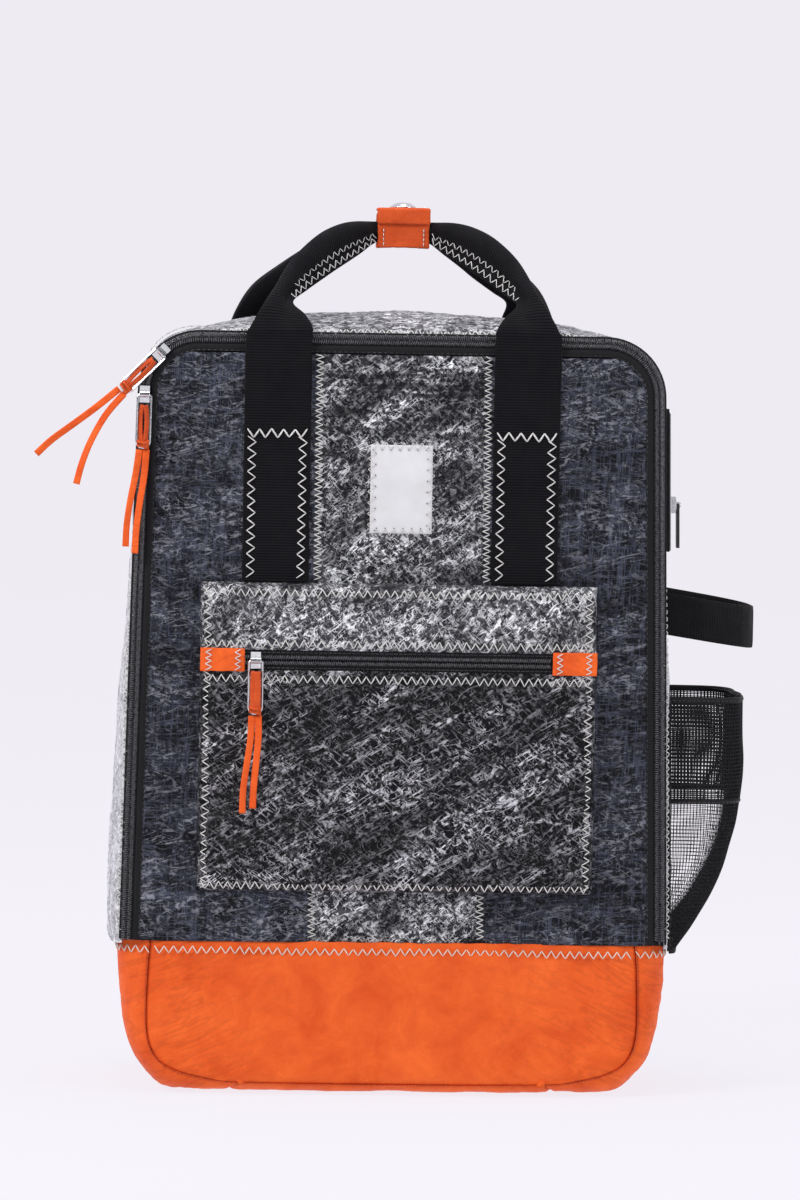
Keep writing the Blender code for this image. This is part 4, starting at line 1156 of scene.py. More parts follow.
def build_main_zip():
    """Coil teeth on both halves of the arched zip and their tapes."""
    ahead = Vector((0, -1, 0))
    low = FLAP_LOW + 0.0008
    for name, span, body, node, slant in (
            ("zip_teeth_body", COIL_BODY, "bag", "zip_coil_body", 0.0011),
            ("zip_teeth_flap", COIL_FLAP, "flap", "zip_coil_flap", -0.0011)):
        bank = Strands()
        outer = arch(span[0], low, FRONT - 0.0009, 0.001)
        inner = arch(span[1], low, FRONT - 0.0009, 0.001)
        teeth(bank, outer, inner, ahead, 0.00135, slant)
        for line in (outer, inner):
            points = spaced([p + Vector((0, 0.0004, 0)) for p in line], 0.004)
            for a, b in zip(points, points[1:]):
                bank.strand(a, b, ahead, 0.0, 0.0005, 5, 1)
        bank.build(name, "coil", body, node)
    for node in ("zip_tape_body", "zip_tape_flap", "pocket_zip_tape", "side_zip_tape"):
        finish_node(node, "tape")
    for inset, body in ((0.0019, "bag"), (0.0086, "flap")):
        tape = arch(inset, low, FRONT - 0.0004, 0.001)
        strip("zip_edge_" + body, tape, lambda share: ahead,
              lambda share: flat_ring(0.0012, 0.0010, 3), "tape", body, (), None, 0.004)


def finish_node(node, look, bevel=0.0):
    """A CAD node whose shape is right keeps it and takes a finish."""
    obj = NODES[node]
    obj.data.materials.clear()
    obj.data.materials.append(MATERIALS[look])
    if bevel:
        edge = obj.modifiers.new("edge", "BEVEL")
        edge.width = bevel
        edge.segments = 2
        edge.limit_method = "ANGLE"
        edge.angle_limit = math.radians(40)


def pocket_face(x, z, low, high, shut_low, shut_high):
    """The pocket's depth at a point: full in the middle, rolled down to the flap at its edges."""
    reach = 0.0065
    rims = [POCKET_HALF - abs(x)]
    if shut_low:
        rims.append(z - low)
    if shut_high:
        rims.append(high - z)
    inward = min(max(min(rims) / reach, 0), 1)
    depth = math.sqrt(max(1 - (1 - inward) ** 2, 0))
    return CLOTH_FACE - GAP - (CLOTH_FACE - GAP - POCKET_FACE) * depth


def pocket_part(name, node, look, low, high, shut_low, shut_high, relief):
    step = 0.0013
    wide, tall = int(2 * POCKET_HALF / step), int((high - low) / step)
    rows = []
    for r in range(tall + 1):
        z = low + (high - low) * r / tall
        row = []
        for c in range(wide + 1):
            x = -POCKET_HALF + 2 * POCKET_HALF * c / wide
            rim = min(POCKET_HALF - abs(x), z - low if shut_low else 1,
                      high - z if shut_high else 1)
            mouth = min(high - z if not shut_high else 1, z - low if not shut_low else 1)
            y = pocket_face(x, z, low, high, shut_low, shut_high)
            soft = edge_fade(rim, 0.010) * edge_fade(mouth - 0.004, 0.014)
            row.append(Vector((x, y - relief(x, z) * soft, z)))
        rows.append(row)
    made = sheet_mesh(name, turned_edge(rows, Vector((0, 0.0011, 0))), MATERIALS[look])
    keep(made, "flap", look, node)
    return made


def build_pocket():
    """The patch pocket: light band, wrinkled lower part, zip with leather tabs."""
    ahead = Vector((0, -1, 0))
    zip_low = POCKET_ZIP_Z - POCKET_ZIP_HALF
    zip_top = POCKET_ZIP_Z + POCKET_ZIP_HALF
    pocket_part("pocket_lower_sailcloth", "pocket_lower", "pocket", POCKET_LOW, zip_low, True,
                False, pocket_relief)
    pocket_part("pocket_band_sailcloth", "pocket_band", "band", zip_top, POCKET_TOP, False, True,
                band_relief)

    def on_pocket(x, z, lift=0.0006):
        low, high = (POCKET_LOW, zip_low) if z < POCKET_ZIP_Z else (zip_top, POCKET_TOP)
        return Vector((x, pocket_face(x, z, low, high, z < POCKET_ZIP_Z, z > POCKET_ZIP_Z)
                       - lift, z))
    left, right = -0.1146, 0.1140
    for z, period in ((0.3028, 0.0054), (0.2722, 0.0054), (0.2512, 0.0054), (0.1272, 0.0054)):
        zigzag("flap", [on_pocket(x, z) for x in
                        [left - 0.002 + (right - left + 0.004) * i / 40 for i in range(41)]],
               ahead, period, 0.0047, "thread", 0.00036, 0.12)
    for x in (left, right):
        for low, high in ((0.1255, 0.2555), (0.2690, 0.3050)):
            zigzag("flap", [on_pocket(x, low + (high - low) * i / 20) for i in range(21)], ahead,
                   0.0054, 0.0047, "thread", 0.00036, 0.12)

    bank = Strands()
    half = POCKET_HALF - TAB_WIDTH + 0.001
    for low, high, slant in ((0.0004, 0.0029, 0.0011), (-0.0029, -0.0004, 0.0011)):
        outer = [Vector((x, POCKET_FACE - 0.0004, POCKET_ZIP_Z + low)) for x in (-half, half)]
        inner = [Vector((x, POCKET_FACE - 0.0004, POCKET_ZIP_Z + high)) for x in (-half, half)]
        teeth(bank, outer, inner, ahead, 0.00135, slant if low > 0 else -slant)
    bank.build("pocket_zip_teeth", "coil", "flap", "pocket_zip_coil")
    for z in (0.0046, -0.0046):
        stitches("flap", [Vector((-half, POCKET_FACE + 0.0001, POCKET_ZIP_Z + z)),
                          Vector((half, POCKET_FACE + 0.0001, POCKET_ZIP_Z + z))], ahead, 0.0028,
                 "black_thread", 0.00028)
    for side, name in ((-1, "left"), (1, "right")):
        softened("pocket_tab_leather_" + name, "pocket_tab_" + name, "leather", "flap",
                 0.0006, 3, lambda p: 0.0003 * fractal(p.x, p.y, p.z, 150, 3, 2))
        for x in (0.1140, 0.0965):
            zigzag("flap", [Vector((side * x, -0.0828, POCKET_ZIP_Z - 0.0062)),
                            Vector((side * x, -0.0828, POCKET_ZIP_Z + 0.0062))], ahead, 0.0036,
                   0.0036, "thread", 0.00034)


def build_label():
    """The blank woven label, sewn on by zigzags that leave needle holes inside its edges."""
    low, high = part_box("label")
    ahead = Vector((0, -1, 0))
    face = CLOTH_FACE - 0.0013
    rows = []
    for r in range(46):
        z = low[2] + (high[2] - low[2]) * r / 45
        row = []
        for c in range(33):
            x = low[0] + (high[0] - low[0]) * c / 32
            rim = min(x - low[0], high[0] - x, z - low[2], high[2] - z)
            y = face - 0.0006 * edge_fade(rim, 0.010) - 0.0004 * fractal(x, 0, z, 45, 2, 5)
            row.append(Vector((x, y, z)))
        rows.append(row)
    made = sheet_mesh("blank_label", turned_edge(rows, Vector((0, 0.0008, 0))),
                      MATERIALS["label"])
    keep(made, "flap", "label", "label")
    holes = Strands()
    ends = [(Vector((low[0], 0, low[2])), Vector((high[0], 0, low[2])), 7),
            (Vector((high[0], 0, low[2])), Vector((high[0], 0, high[2])), 8),
            (Vector((high[0], 0, high[2])), Vector((low[0], 0, high[2])), 7),
            (Vector((low[0], 0, high[2])), Vector((low[0], 0, low[2])), 8)]
    middle = Vector(((low[0] + high[0]) / 2, 0, (low[2] + high[2]) / 2))
    bank = threads("flap")
    for a, b, count in ends:
        along = (b - a).normalized()
        inward = Vector((-along.z, 0, along.x))
        if inward.dot(middle - a) < 0:
            inward = -inward
        before = None
        for i in range(2 * count):
            p = a.lerp(b, (i + 0.5) / (2 * count)) + inward * (0.0030 if i % 2 else -0.0014)
            p.y = face - 0.0007 if i % 2 else CLOTH_FACE - 0.0006
            if before:
                bank.strand(before, p, ahead, 0.0004, 0.00030)
            if i % 2:
                holes.strand(p + Vector((-0.0003, -0.0001, 0)), p + Vector((0.0003, -0.0001, 0)),
                             ahead, 0.0001, 0.00042, 6, 2, 0.5)
            before = p
    holes.build("label_needle_holes", "hole", "flap")


# ---------------------------------------------------------------- handles and wrap
# Each handle's half, from the sewn leg to the middle of the grip: the outer edge's distance from
# the middle and height, the inner edge's, and the depth
FRONT_GRIP = [
    (0.0947, 0.4520, 0.0547, 0.4520, -0.0752), (0.0925, 0.4610, 0.0552, 0.4615, -0.0752),
    (0.0865, 0.4720, 0.0600, 0.4690, -0.0705), (0.0800, 0.4830, 0.0672, 0.4762, -0.0630),
    (0.0695, 0.5015, 0.0590, 0.4835, -0.0500), (0.0565, 0.5150, 0.0475, 0.4920, -0.0390),
    (0.0450, 0.5220, 0.0370, 0.4993, -0.0280), (0.0330, 0.5255, 0.0272, 0.5060, -0.0180),
    (0.0170, 0.5262, 0.0166, 0.5135, -0.0090), (0.0060, 0.5262, 0.0060, 0.5142, -0.0078)]
REAR_GRIP = [
    (0.1030, 0.4420, 0.0630, 0.4420, 0.0742), (0.1020, 0.4600, 0.0640, 0.4600, 0.0742),
    (0.0970, 0.4740, 0.0680, 0.4700, 0.0700), (0.0890, 0.4865, 0.0690, 0.4780, 0.0610),
    (0.0760, 0.4975, 0.0600, 0.4840, 0.0490), (0.0600, 0.5090, 0.0470, 0.4925, 0.0390),
    (0.0450, 0.5180, 0.0370, 0.4998, 0.0280), (0.0336, 0.5230, 0.0275, 0.5062, 0.0180),
    (0.0170, 0.5250, 0.0166, 0.5135, 0.0090), (0.0060, 0.5250, 0.0060, 0.5142, 0.0078)]


def handle_edges(half, leg, foot, foot_y, step=0.0006):
    """Matching outer and inner edge lines of a handle, from foot to foot."""
    lines = []
    for out, high in ((0, 1), (2, 3)):
        reach = WEBBING_WIDTH / 2 * (1 if out == 0 else -1)
        sewn = [(leg + reach, foot_y, foot), (leg + reach, foot_y, HEIGHT - LEG_FREE)]
        side = sewn + [(row[out], row[4], row[high]) for row in half]
        left = [(-x + WRAP_X * min(max((z - 0.45) / 0.06, 0), 1), y, z) for x, y, z in side]
        right = [(x + WRAP_X * min(max((z - 0.45) / 0.06, 0), 1), y, z) for x, y, z in side]
        lines.append(smooth_line(left + list(reversed(right)), 8))
    run, marks = 0.0, [0.0]
    middle = [(a + b) / 2 for a, b in zip(*lines)]
    for a, b in zip(middle, middle[1:]):
        run += (b - a).length
        marks.append(run)
    count = int(run / step)
    outer, inner, at = [], [], 0
    for i in range(count + 1):
        want = run * i / count
        while at < len(marks) - 2 and marks[at + 1] < want:
            at += 1
        share = min((want - marks[at]) / (marks[at + 1] - marks[at]), 1)
        outer.append(lines[0][at].lerp(lines[0][at + 1], share))
        inner.append(lines[1][at].lerp(lines[1][at + 1], share))
    return outer, inner


def grip_rise(u, fold):
    """The webbing's face above its middle at u from the outer (0) to the inner edge (1)."""
    flat = WEBBING / 2 * (1 - 0.3 * abs(2 * u - 1) ** 12)
    roll = 0.0052 * math.sqrt(max(1 - ((u - 0.30) / 0.315) ** 2, 0))
    lip = 0.0013 * edge_fade(u - 0.52, 0.05) * (1 - 0.5 * edge_fade(u - 0.93, 0.07))
    return flat + (max(roll, lip, 0.0003 if u in (0, 1) else 0.0009) - flat) * fold


def handle_fold(z):
    return edge_fade(z - 0.462, 0.022)


def handle_webbing(name, half, leg, foot, foot_y, sign, body, node):
    """One ribbed handle: flat legs that fold in two and roll into the grip."""
    outer, inner = handle_edges(half, leg, foot, foot_y)
    front = Vector((0, sign, 0))
    across = 21
    rows, uvs, run = [], [], 0.0
    last = len(outer) - 1
    for i, (o, n) in enumerate(zip(outer, inner)):
        middle = (o + n) / 2
        before, after = max(i - 1, 0), min(i + 1, last)
        along = ((outer[after] + inner[after]) - (outer[before] + inner[before])).normalized()
        run += ((o + n) / 2 - (outer[before] + inner[before]) / 2).length
        side = (n - o).normalized()
        out = side.cross(along).normalized()
        if out.dot(front) < 0:
            out = -out
        fold = handle_fold(middle.z)
        held = 1 - 0.62 * (1 - edge_fade(abs(middle.x - WRAP_X) - WRAP_WIDTH / 2, 0.010))
        rib = 0.00024 * (math.sin(math.pi * run / 0.00165) ** 2 - 0.5)
        worn = 0.0005 * fractal(middle.x, middle.y, middle.z, 45, 2, sign)
        row = []
        for k in range(across):
            u = k / (across - 1)
            row.append(o.lerp(n, u) + out * (grip_rise(u, fold) * held + rib + worn * fold * held))
            uvs.append((u * (n - o).length, run))
        for k in range(1, across - 1):
            u = 1 - k / (across - 1)
            row.append(o.lerp(n, u) - out * (grip_rise(u, fold) * (1 - 0.25 * fold) * held + rib))
            uvs.append((u * (n - o).length, run))
        rows.append(row)
    verts, faces = grid(rows, closed=True)
    wide = len(rows[0])
    faces.append(tuple(reversed(range(wide))))
    faces.append(tuple(len(verts) - wide + k for k in range(wide)))
    made = mesh_object(name, verts, faces, MATERIALS["webbing"], uvs)
    return keep(made, body, "webbing", node)


def build_handles():
    """Two ribbed webbing handles and their stitching."""
    sewn_y = CLOTH_FACE - GAP - WEBBING / 2
    handle_webbing("front_handle_webbing", FRONT_GRIP, LEG_X, POCKET_TOP + 0.0006, sewn_y, -1,
                   "flap", "front_handle")
    handle_webbing("rear_handle_webbing", REAR_GRIP, REAR_LEG_X, YOKE_TOP + GAP * 2,
                   PANEL_BACK + GAP + WEBBING / 2, 1, "bag", "rear_handle")
    ahead = Vector((0, -1, 0))
    face = CLOTH_FACE - GAP - WEBBING - 0.0002
    sewn_top = HEIGHT - LEG_FREE
    for side in (-1, 1):
        for x in (-0.0152, 0.0152):
            zigzag("flap", [Vector((side * LEG_X + x, face, POCKET_TOP + 0.003)),
                            Vector((side * LEG_X + x, face, sewn_top - 0.002))], ahead, 0.0070,
                   0.0048, "thread", 0.00042)
        zigzag("flap", [Vector((side * LEG_X - 0.0178, face, sewn_top)),
                        Vector((side * LEG_X + 0.0178, face, sewn_top))], ahead, 0.0071, 0.0052,
               "thread", 0.00058)
    outer, inner = handle_edges(FRONT_GRIP, LEG_X, POCKET_TOP + 0.0006, sewn_y, 0.0015)
    for u, low in ((0.645, 0.487), (0.865, 0.482)):
        for side in (-1, 1):
            line = []
            for i in range(1, len(outer) - 1):
                o, n = outer[i], inner[i]
                middle = (o + n) / 2
                if middle.z < low or (middle.x - WRAP_X) * side < WRAP_WIDTH / 2 + 0.001:
                    continue
                along = (outer[i + 1] - outer[i - 1]).normalized()
                out = (n - o).normalized().cross(along).normalized()
                out = -out if out.y > 0 else out
                line.append(o.lerp(n, u) + out * (grip_rise(u, 1.0) + 0.0003))
            zigzag("flap", line, (ahead + Vector((0, 0, -0.3))).normalized(), 0.0056, 0.0040,
                   "thread", 0.00034)


def build_wrap():
    """The leather wrap round both grips, its snapped leaf, cap and stitching."""
    def worked(p):
        waist = -0.0006 * max(1 - ((p.x - WRAP_X) / 0.016) ** 2, 0)
        return waist + 0.00035 * fractal(p.x, p.y, p.z, 120, 3, 3)
    softened("wrap_front_leather", "wrap_front_half", "strap_leather", "flap", 0.0006, 4, worked)
    softened("wrap_rear_leather", "wrap_rear_half", "strap_leather", "bag", 0.0006, 4, worked)
    softened("snap_leaf_leather", "snap_flap", "strap_leather", "snap_flap", 0.0006, 4,
             lambda p: 0.0003 * fractal(p.x, p.y, p.z, 120, 3, 6) + 0.0003)
    low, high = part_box("snap_cap")
    centre = Vector(((low[0] + high[0]) / 2, (low[1] + high[1]) / 2, low[2]))
    rise = high[2] - low[2]
    profile = [(0.0078, 0.0), (0.0080, 0.0004), (0.0079, 0.0009), (0.0074, 0.0013),
               (0.0070, 0.0014), (0.0067, 0.0017), (0.0058, 0.0025), (0.0045, 0.0031),
               (0.0028, 0.00345), (0.0012, 0.0036), (0.0, 0.0036)]
    rows = []
    for reach, lift in profile:
        rows.append([centre + Vector((reach * math.cos(2 * math.pi * k / 40),
                                      reach * math.sin(2 * math.pi * k / 40),
                                      lift * rise / 0.0036)) for k in range(40)])
    cap = sheet_mesh("snap_cap_dome", rows, MATERIALS["metal"], closed=True)
    keep(cap, "snap_flap", "metal", "snap_cap")
    finish_node("snap_stud", "metal")
    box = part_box("wrap_front_half")
    for x in (box[0][0] + 0.0038, box[1][0] - 0.0038):
        stitches("flap", [Vector((x, box[0][1] - 0.0001, box[0][2] + 0.0015)),
                          Vector((x, box[0][1] - 0.0001, box[1][2] - 0.0090))],
                 Vector((0, -1, 0)), 0.0030, "thread", 0.00034)
    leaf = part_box("snap_flap")
    for x in (leaf[0][0] + 0.0034, leaf[1][0] - 0.0034):
        stitches("snap_flap", [Vector((x, y, leaf[1][2] + 0.0003)) for y in
                               (leaf[0][1] + 0.003, leaf[1][1] - 0.002)],
                 Vector((0, 0, 1)), 0.0030, "thread", 0.00034)


# ---------------------------------------------------------------- zip pulls
# Far end of each pull's ring, the bar it hangs on and the thong tails' routes from the far end
PULLS = {
    "corner": ((-0.1448232, -0.0764, 0.4450870), (-0.70711, 0, -0.70711)),
    "side_edge": ((-0.1544316, -0.0764, 0.4200000), (-0.01956, 0, -0.99981)),
    "pocket": ((-0.0858, -0.0866, 0.2625), (0, 0, -1)),
}
RING_LENGTH = 0.032
TAIL_ROUTES = {
    "corner_tail_outer": [
        (-0.0022, 0.0000, 0.0006), (-0.0155, -0.0006, -0.0105), (-0.0300, -0.0021, -0.0215),
        (-0.0420, -0.0031, -0.0305), (-0.0509, -0.0036, -0.0390)],
    "corner_tail_inner": [
        (0.0008, 0.0000, -0.0023), (-0.0095, -0.0006, -0.0145), (-0.0180, -0.0021, -0.0295),
        (-0.0235, -0.0031, -0.0435), (-0.0269, -0.0036, -0.0565)],
    "side_edge_tail_outer": [
        (-0.0020, 0.0000, -0.0010), (-0.0039, -0.0006, -0.0150), (-0.0069, -0.0016, -0.0310),
        (-0.0089, -0.0021, -0.0460), (-0.0094, -0.0021, -0.0590)],
    "side_edge_tail_inner": [
        (0.0021, 0.0000, -0.0010), (0.0011, -0.0006, -0.0160), (-0.0014, -0.0016, -0.0330),
        (-0.0032, -0.0021, -0.0490), (-0.0039, -0.0021, -0.0630)],
    "pocket_tail_outer": [
        (-0.0020, 0.0000, -0.0011), (-0.0024, -0.0004, -0.0145), (-0.0045, -0.0009, -0.0305),
        (-0.0064, -0.0014, -0.0455), (-0.0067, -0.0014, -0.0595)],
    "pocket_tail_inner": [
        (0.0020, 0.0000, -0.0011), (0.0022, -0.0004, -0.0145), (0.0010, -0.0009, -0.0305),
        (-0.0002, -0.0014, -0.0445), (-0.0006, -0.0014, -0.0565)],
}
THONG = 0.0038


def thong_ring(share=0.5, width=THONG, thick=0.0014):
    """A cut leather thong's section, the same all along; share is not used."""
    return flat_ring(width, thick, 7)


def build_pulls():
    """Rings, knotted thongs and their free tails."""
    for pull, (bar, way) in PULLS.items():
        body = pull + "_pull"
        bar, way = Vector(bar), Vector(way).normalized()
        out = Vector((0, -1, 0))
        across = out.cross(way).normalized()
        end = bar + way * RING_LENGTH
        for node in (pull + "_slider", pull + "_ring"):
            finish_node(node, "metal")
        loop = Strands()
        spread = 0.0012 if pull == "pocket" else 0.0017
        for side in (-1, 1):
            lift = 0.0016 if pull == "pocket" else 0.0004
            route = smooth_line([
                bar + way * 0.0065 + across * side * 0.0009 + out * (lift + 0.0008),
                bar + way * 0.012 + across * side * spread + out * (lift + side * 0.0007),
                bar + way * 0.021 + across * side * spread * 1.05 + out * (lift + side * 0.0006),
                end + across * side * 0.0010 + out * (lift + 0.0002) - way * 0.0020], 6)
            face = (out + across * side * (0.2 if pull == "pocket" else 0.9)).normalized()
            strip(f"{pull}_thong_loop_{'ab'[side > 0]}", route, lambda share, f=face: f,
                  lambda share: thong_ring(share, 0.0036 if pull == "pocket" else 0.0030),
                  "strap_leather", body, (), None, 0.0012)
        for turn, shift in ((0, 0.0), (1, 0.0016)):
            centre = end - way * (0.0030 - shift) + out * 0.0006
            circle = []
            for k in range(28):
                angle = 2 * math.pi * k / 28
                tilt = way * (0.0009 * math.sin(angle + turn * 2.1))
                circle.append(centre + across * (0.0030 * math.cos(angle))
                              + out * (0.0026 * math.sin(angle)) + tilt)
            knot(f"{pull}_thong_knot_{turn}", circle, centre, way, body)
        for tail in ("outer", "inner"):
            name = f"{pull}_tail_{tail}"
            route = smooth_line([end + Vector(p) for p in TAIL_ROUTES[name]], 3)
            twist = 0.5 if tail == "outer" else -0.35
            made = strip(name + "_leather", route,
                         lambda share, t=twist: Vector((t * math.sin(share * 2.6), -1, 0.1)),
                         lambda share: thong_ring(share), "leather", body, (name,), None, 0.0014)


def knot(name, circle, centre, way, body):
    """One flat turn of thong tied round the others."""
    rows = []
    count = len(circle)
    for i, p in enumerate(circle):
        out = (p - centre)
        out = (out - way * out.dot(way)).normalized()
        rows.append([p + way * u + out * v for u, v in thong_ring(0.5, 0.0032, 0.0014)])
    rows.append(rows[0])
    verts, faces = grid(rows, closed=True)
    made = mesh_object(name, verts, faces, MATERIALS["strap_leather"])
    keep(made, body, "strap_leather")


# ---------------------------------------------------------------- right side
def side_profile(half_depth, bulge, z, drop=0.0, count=60, boxy=3.2):
    """A boxy bow round the bag's right side at height z."""
    points = []
    for i in range(count + 1):
        angle = math.pi * i / count - math.pi / 2
        y = half_depth * math.copysign(abs(math.sin(angle)) ** (2 / boxy), math.sin(angle))
        out = abs(math.cos(angle)) ** (2 / boxy)
        points.append(Vector((edge_x(z) + GAP + 0.0002 + bulge * out, y, z - drop * out)))
    return points


def net_bulge(z):
    share = min((z - NET_LOW) / (CUFF_TOP - NET_LOW), 1)
    return 0.006 + (NET_BULGE - 0.006) * (1 - (1 - share) ** 3.4)


def net_rows(low, high, pitch, inward=0.0):
    count = max(int((high - low) / pitch), 1)
    wide = int(0.205 / pitch)
    rows = []
    for r in range(count + 1):
        z = low + (high - low) * r / count
        line = resampled(side_profile(NET_HALF_DEPTH, net_bulge(z) - inward, z, 0, 90, 4.6), wide)
        row = []
        for c, p in enumerate(line):
            rim = min(c, len(line) - 1 - c) / 12
            slack = 0.0016 * fractal(p.x, p.y, p.z, 24, 2, 3) * min(rim, 1)
            fold = 0.0030 * math.exp(-((p.y + 0.030 - (z - 0.165) * 0.12) / 0.0045) ** 2)
            row.append(p + Vector((slack - fold * min(rim, 1), slack * 0.5, 0)))
        rows.append(row)
    return rows


def build_net():
    """The knitted net pocket, its doubled cuff and bound edges."""
    def wires(name, rows, thick):
        made = sheet_mesh(name, rows, MATERIALS["net"])
        wire = made.modifiers.new("threads", "WIREFRAME")
        wire.thickness = thick
        wire.use_even_offset = False
        wire.use_boundary = True
        return apply_modifiers(made)
    made = wires("net_pocket", net_rows(NET_LOW, CUFF_LOW + 0.002, 0.0022), 0.00055)
    keep(made, "bag", "net", "mesh_pocket")
    cuff = wires("net_cuff_outer", net_rows(CUFF_LOW, CUFF_TOP, 0.0022), 0.0010)
    keep(cuff, "bag", "net", "mesh_pocket_cuff")
    inner = wires("net_cuff_inner", net_rows(CUFF_LOW + 0.001, CUFF_TOP - 0.001, 0.0024, 0.0014),
                  0.0009)
    keep(inner, "bag", "net")
    sideways = Vector((1, 0, 0))
    for z, width in ((CUFF_TOP - 0.0010, 0.0034), (CUFF_LOW + 0.0006, 0.0022)):
        line = net_rows(z, z + 0.002, 0.0021)[0]
        middle = Vector((edge_x(z), 0, z))
        strip(f"net_hem_{int(z * 1000)}", line, lambda share, l=line, m=middle:
              (l[min(int(share * (len(l) - 1)), len(l) - 1)] - m).normalized(),
              lambda share, w=width: flat_ring(w, 0.0016, 5), "binding", "bag", (), None, 0.0016)
        stitches("bag", [p + (p - middle).normalized() * 0.0009 for p in line],
                 lambda p, m=middle: (p - m).normalized(), 0.0030, "black_thread", 0.0003)
    for y in (-NET_HALF_DEPTH, NET_HALF_DEPTH):
        line = [Vector((edge_x(z) + 0.0014, y * 0.995, z)) for z in
                [NET_LOW + (CUFF_TOP - NET_LOW) * i / 30 for i in range(31)]]
        strip(f"net_binding_{'front' if y < 0 else 'rear'}", line, lambda share: sideways,
              lambda share: flat_ring(0.0060, 0.0014, 5), "binding", "bag", (), None, 0.0016)
        zigzag("bag", [p + Vector((0.0010, 0, 0)) for p in line], sideways, 0.0040, 0.0034,
               "black_thread", 0.0003)
    foot = [Vector((p.x + 0.0010, p.y, NET_LOW + 0.0010)) for p in
            side_profile(NET_HALF_DEPTH, net_bulge(NET_LOW), NET_LOW)]
    strip("net_binding_foot", foot, lambda share: sideways,
          lambda share: flat_ring(0.0050, 0.0014, 5), "binding", "bag", (), None, 0.0016)


def build_bottle_strap():
    """The ribbed elastic that goes round a bottle."""
    line = side_profile(0.050, 0.0575, 0.292, 0.009, 80)
    middle = Vector((edge_x(0.292), 0, 0.292))
    last = len(line) - 1
    rows, uvs = [], []
    line = spaced(line, 0.0007)
    last = len(line) - 1
    run = 0.0
    for i, p in enumerate(line):
        along = (line[min(i + 1, last)] - line[max(i - 1, 0)]).normalized()
        up = Vector((0, 0, 1))
        out = along.cross(up).normalized()
        if out.dot(p - middle) < 0:
            out = -out
        rib = 0.00016 * (math.sin(math.pi * i * 0.0007 / 0.0016) ** 2)
        run += 0.0007
        row = []
        for v, u in flat_ring(0.025, 0.0016, 9):
            row.append(p + up * v + out * (u + (rib if u > 0 else -rib)) - out * 0.0010)
            uvs.append((v, run))
        rows.append(row)
    verts, faces = grid(rows, closed=True)
    made = mesh_object("bottle_elastic", verts, faces, MATERIALS["elastic"], uvs)
    keep(made, "bag", "elastic", "bottle_strap")
    sideways = Vector((1, 0, 0))
    for y in (-0.047, 0.047):
        zigzag("bag", [Vector((edge_x(0.292) + 0.0024, y, z)) for z in (0.2815, 0.3025)],
               sideways, 0.0040, 0.0040, "black_thread", 0.0003)


def build_side_zip():
    """The short side zip: teeth, its edges and the cord pull's grip."""
    out = Vector((1, 0, SLOPE)).normalized()
    bank = Strands()
    for a, b, slant in ((0.0004, 0.0026, 0.001), (-0.0026, -0.0004, -0.001)):
        lines = []
        for y in (a, b):
            lines.append([Vector((edge_x(z) + 0.0020, -0.052 + y, z)) for z in (0.331, 0.415)])
        teeth(bank, lines[0], lines[1], out, 0.00135, slant)
    bank.build("side_zip_teeth", "coil", "bag", "side_zip_coil")
    for y in (-0.0605, -0.0435):
        stitches("bag", [Vector((edge_x(z) + 0.0015, y, z)) for z in (0.331, 0.415)], out,
                 0.0030, "black_thread", 0.0003)
    finish_node("side_zip_slider", "metal")
    finish_node("side_zip_pull", "plastic", 0.0004)


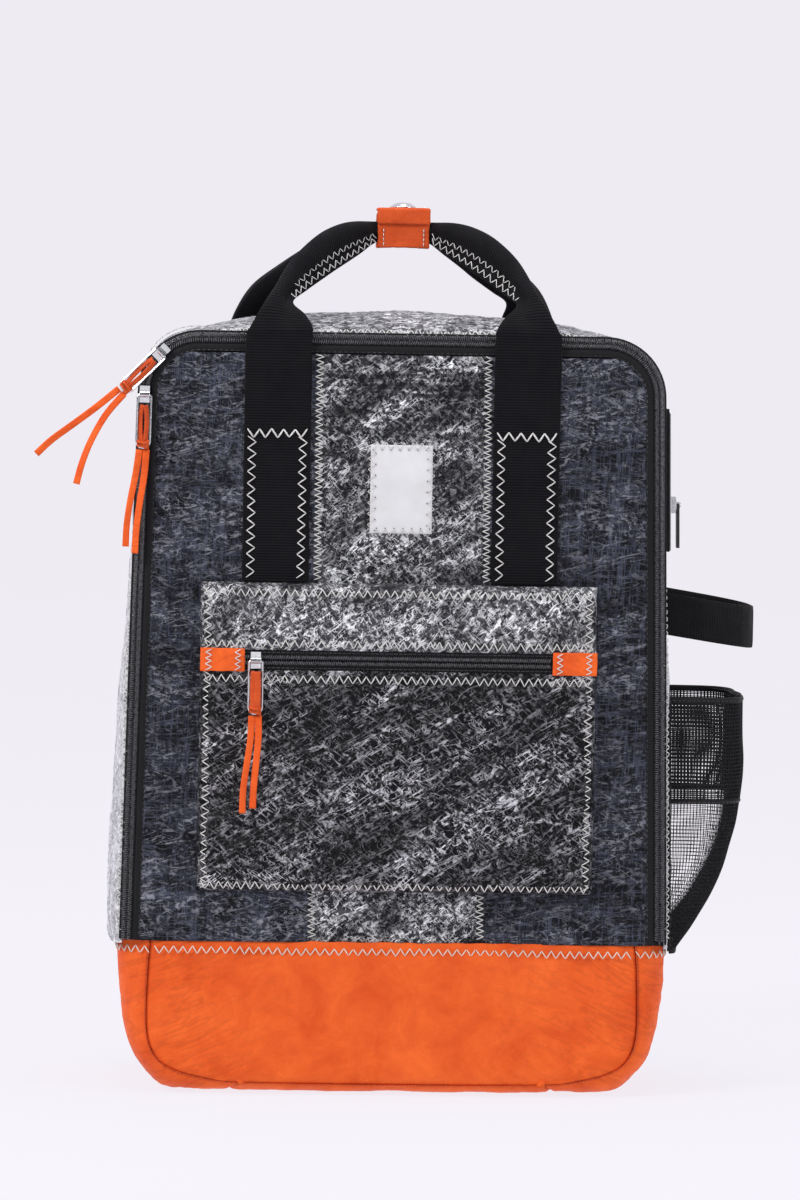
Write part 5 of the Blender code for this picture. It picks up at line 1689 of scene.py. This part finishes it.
# ---------------------------------------------------------------- carrying side
def build_back():
    """Back panel, pads, yoke, padded straps and the webbing below them."""
    behind = Vector((0, 1, 0))

    low_edge = smooth_line([Vector((x, 0, z)) for x, z in BASE_SIDE], 8)

    def outline(z):
        if z < 0.0940:
            for a, b in zip(low_edge, low_edge[1:]):
                if b.z <= z <= a.z and a.z > b.z:
                    return a.x + (b.x - a.x) * (a.z - z) / (a.z - b.z) - 0.0030
            return 0.128
        return side_x(z, 0.0004 + 0.0058 * edge_fade(z - 0.22, 0.14))
    rows = []
    for r in range(150):
        z = 0.0006 + (HEIGHT - 0.0012) * r / 149
        half = outline(z) - 0.0006
        row = []
        for c in range(100):
            x = half - 2 * half * c / 99
            rim = min(half - abs(x), HEIGHT - z, z)
            swell = 0.0012 * edge_fade(rim, 0.02) + 0.0006 * fractal(x, 0, z, 20, 3, 2) \
                * edge_fade(rim, 0.01)
            row.append(Vector((x, PANEL_BACK - 0.0008 + swell, z)))
        rows.append(row)
    made = sheet_mesh("back_sailcloth", turned_edge(rows, Vector((0, -0.0022, 0))),
                      MATERIALS["dark"])
    keep(made, "bag", "dark", "back_panel")
    edge = arch(0.0105, 0.060, PANEL_BACK + 0.0001)
    zigzag("bag", edge, behind, 0.0050, 0.0044, "thread", 0.00034)
    lining = []
    for r in range(30):
        z = 0.006 + (HEIGHT - 0.012) * r / 29
        half = outline(z) - 0.004
        lining.append([Vector((-half + 2 * half * c / 20, BACK - 0.0006, z)) for c in range(21)])
    lining = sheet_mesh("back_lining", lining, MATERIALS["lining"])
    keep(lining, "bag", "lining")

    def channels(p, spacing=0.065):
        if p.y < PANEL_BACK + 0.005:
            return p
        dip = math.exp(-(((p.z - 0.060) % spacing - spacing / 2) / 0.0035) ** 2)
        p.y -= 0.0032 * dip
        return p
    for side in ("left", "right"):
        stuffed("back_pad_soft_" + side, "back_pad_" + side, "spacer", "bag",
                lambda p: p.y < PANEL_BACK + 0.0040, 0.0016, 0.005, 0.005, channels)
        stuffed("shoulder_strap_soft_" + side, "shoulder_strap_" + side, "spacer", "bag",
                lambda p: p.z > YOKE_TOP - 0.012 or p.z < 0.186, 0.0022, 0.004, 0.005, None)
        finish_node("ladder_lock_" + side, "plastic", 0.0006)
    for side, name in ((-1, "left"), (1, "right")):
        low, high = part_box("lower_webbing_" + name)
        anchor = Vector((side * (edge_x(0.112) - 0.012), PANEL_BACK + GAP + 0.0008, 0.112))
        a = anchor + behind * (WEBBING + GAP)
        tip_x = low[0] + 0.0125 if side < 0 else high[0] - 0.0125
        top = Vector((low[0] + high[0], 0, 0)) / 2
        b = Vector((side * (2 * abs(top.x) - abs(a.x)), high[1] - 0.0014, high[2] - 0.0012))
        route = [a, a.lerp(b, 0.5) + behind * 0.0001, b]
        strip("lower_webbing_ribbed_" + name, route, lambda share: behind,
              lambda share: flat_ring(0.025, WEBBING, 9), "webbing", "bag",
              ("lower_webbing_" + name,), (0.00165, 0.0002), 0.00055)
        softened("strap_wing_cloth_" + name, "strap_wing_" + name, "dark", "bag", 0.0009, 2,
                 lambda p: 0.0003 * fractal(p.x, p.y, p.z, 90, 3, 2))
        zigzag("bag", [Vector((anchor.x - 0.009, PANEL_BACK + 0.0040, 0.108)),
                       Vector((anchor.x + 0.009, PANEL_BACK + 0.0040, 0.108))], behind, 0.0040,
               0.0060, "thread", 0.0004)
    low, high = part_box("back_yoke")
    mid = (low[2] + high[2]) / 2
    half = (high[2] - low[2]) / 2
    strip("back_yoke_webbing", [Vector((low[0] + 0.0006, (low[1] + high[1]) / 2, mid)),
                                Vector((high[0] - 0.0006, (low[1] + high[1]) / 2, mid))],
          lambda share: behind, lambda share: flat_ring(2 * half - 0.001, WEBBING, 11),
          "webbing", "bag", ("back_yoke",), (0.00165, 0.0002), 0.0006)
    for z in (low[2] + 0.004, high[2] - 0.004):
        zigzag("bag", [Vector((low[0] + 0.004, high[1] + 0.0003, z)),
                       Vector((high[0] - 0.004, high[1] + 0.0003, z))], behind, 0.0060, 0.0046,
               "thread", 0.0004)
    low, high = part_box("base_board")
    core = low[2] + 0.0032
    strip("base_board_core", [Vector((-0.1260, 0, core)), Vector((0.1260, 0, core))],
          lambda share: Vector((0, 0, 1)), lambda share: flat_ring(0.130, 0.0017, 15), "board",
          "bag", ("base_board",), None, 0.006)
    divider = softened("laptop_divider_soft", "laptop_divider", "lining", "bag", 0.0022, 2,
                       lambda p: 0.0006 * fractal(p.x, p.y, p.z, 22, 2, 2))
    for v in divider.data.vertices:
        v.co.x *= 0.945


def main():
    build_materials()
    build_stage()
    build_pulls()
    build_base()
    build_gusset()
    build_flap()
    build_main_zip()
    build_pocket()
    build_label()
    build_handles()
    build_wrap()
    build_net()
    build_bottle_strap()
    build_side_zip()
    build_back()
    for (body, look), bank in THREADS.items():
        bank.build(f"{look}_on_{body}", look, body)


main()
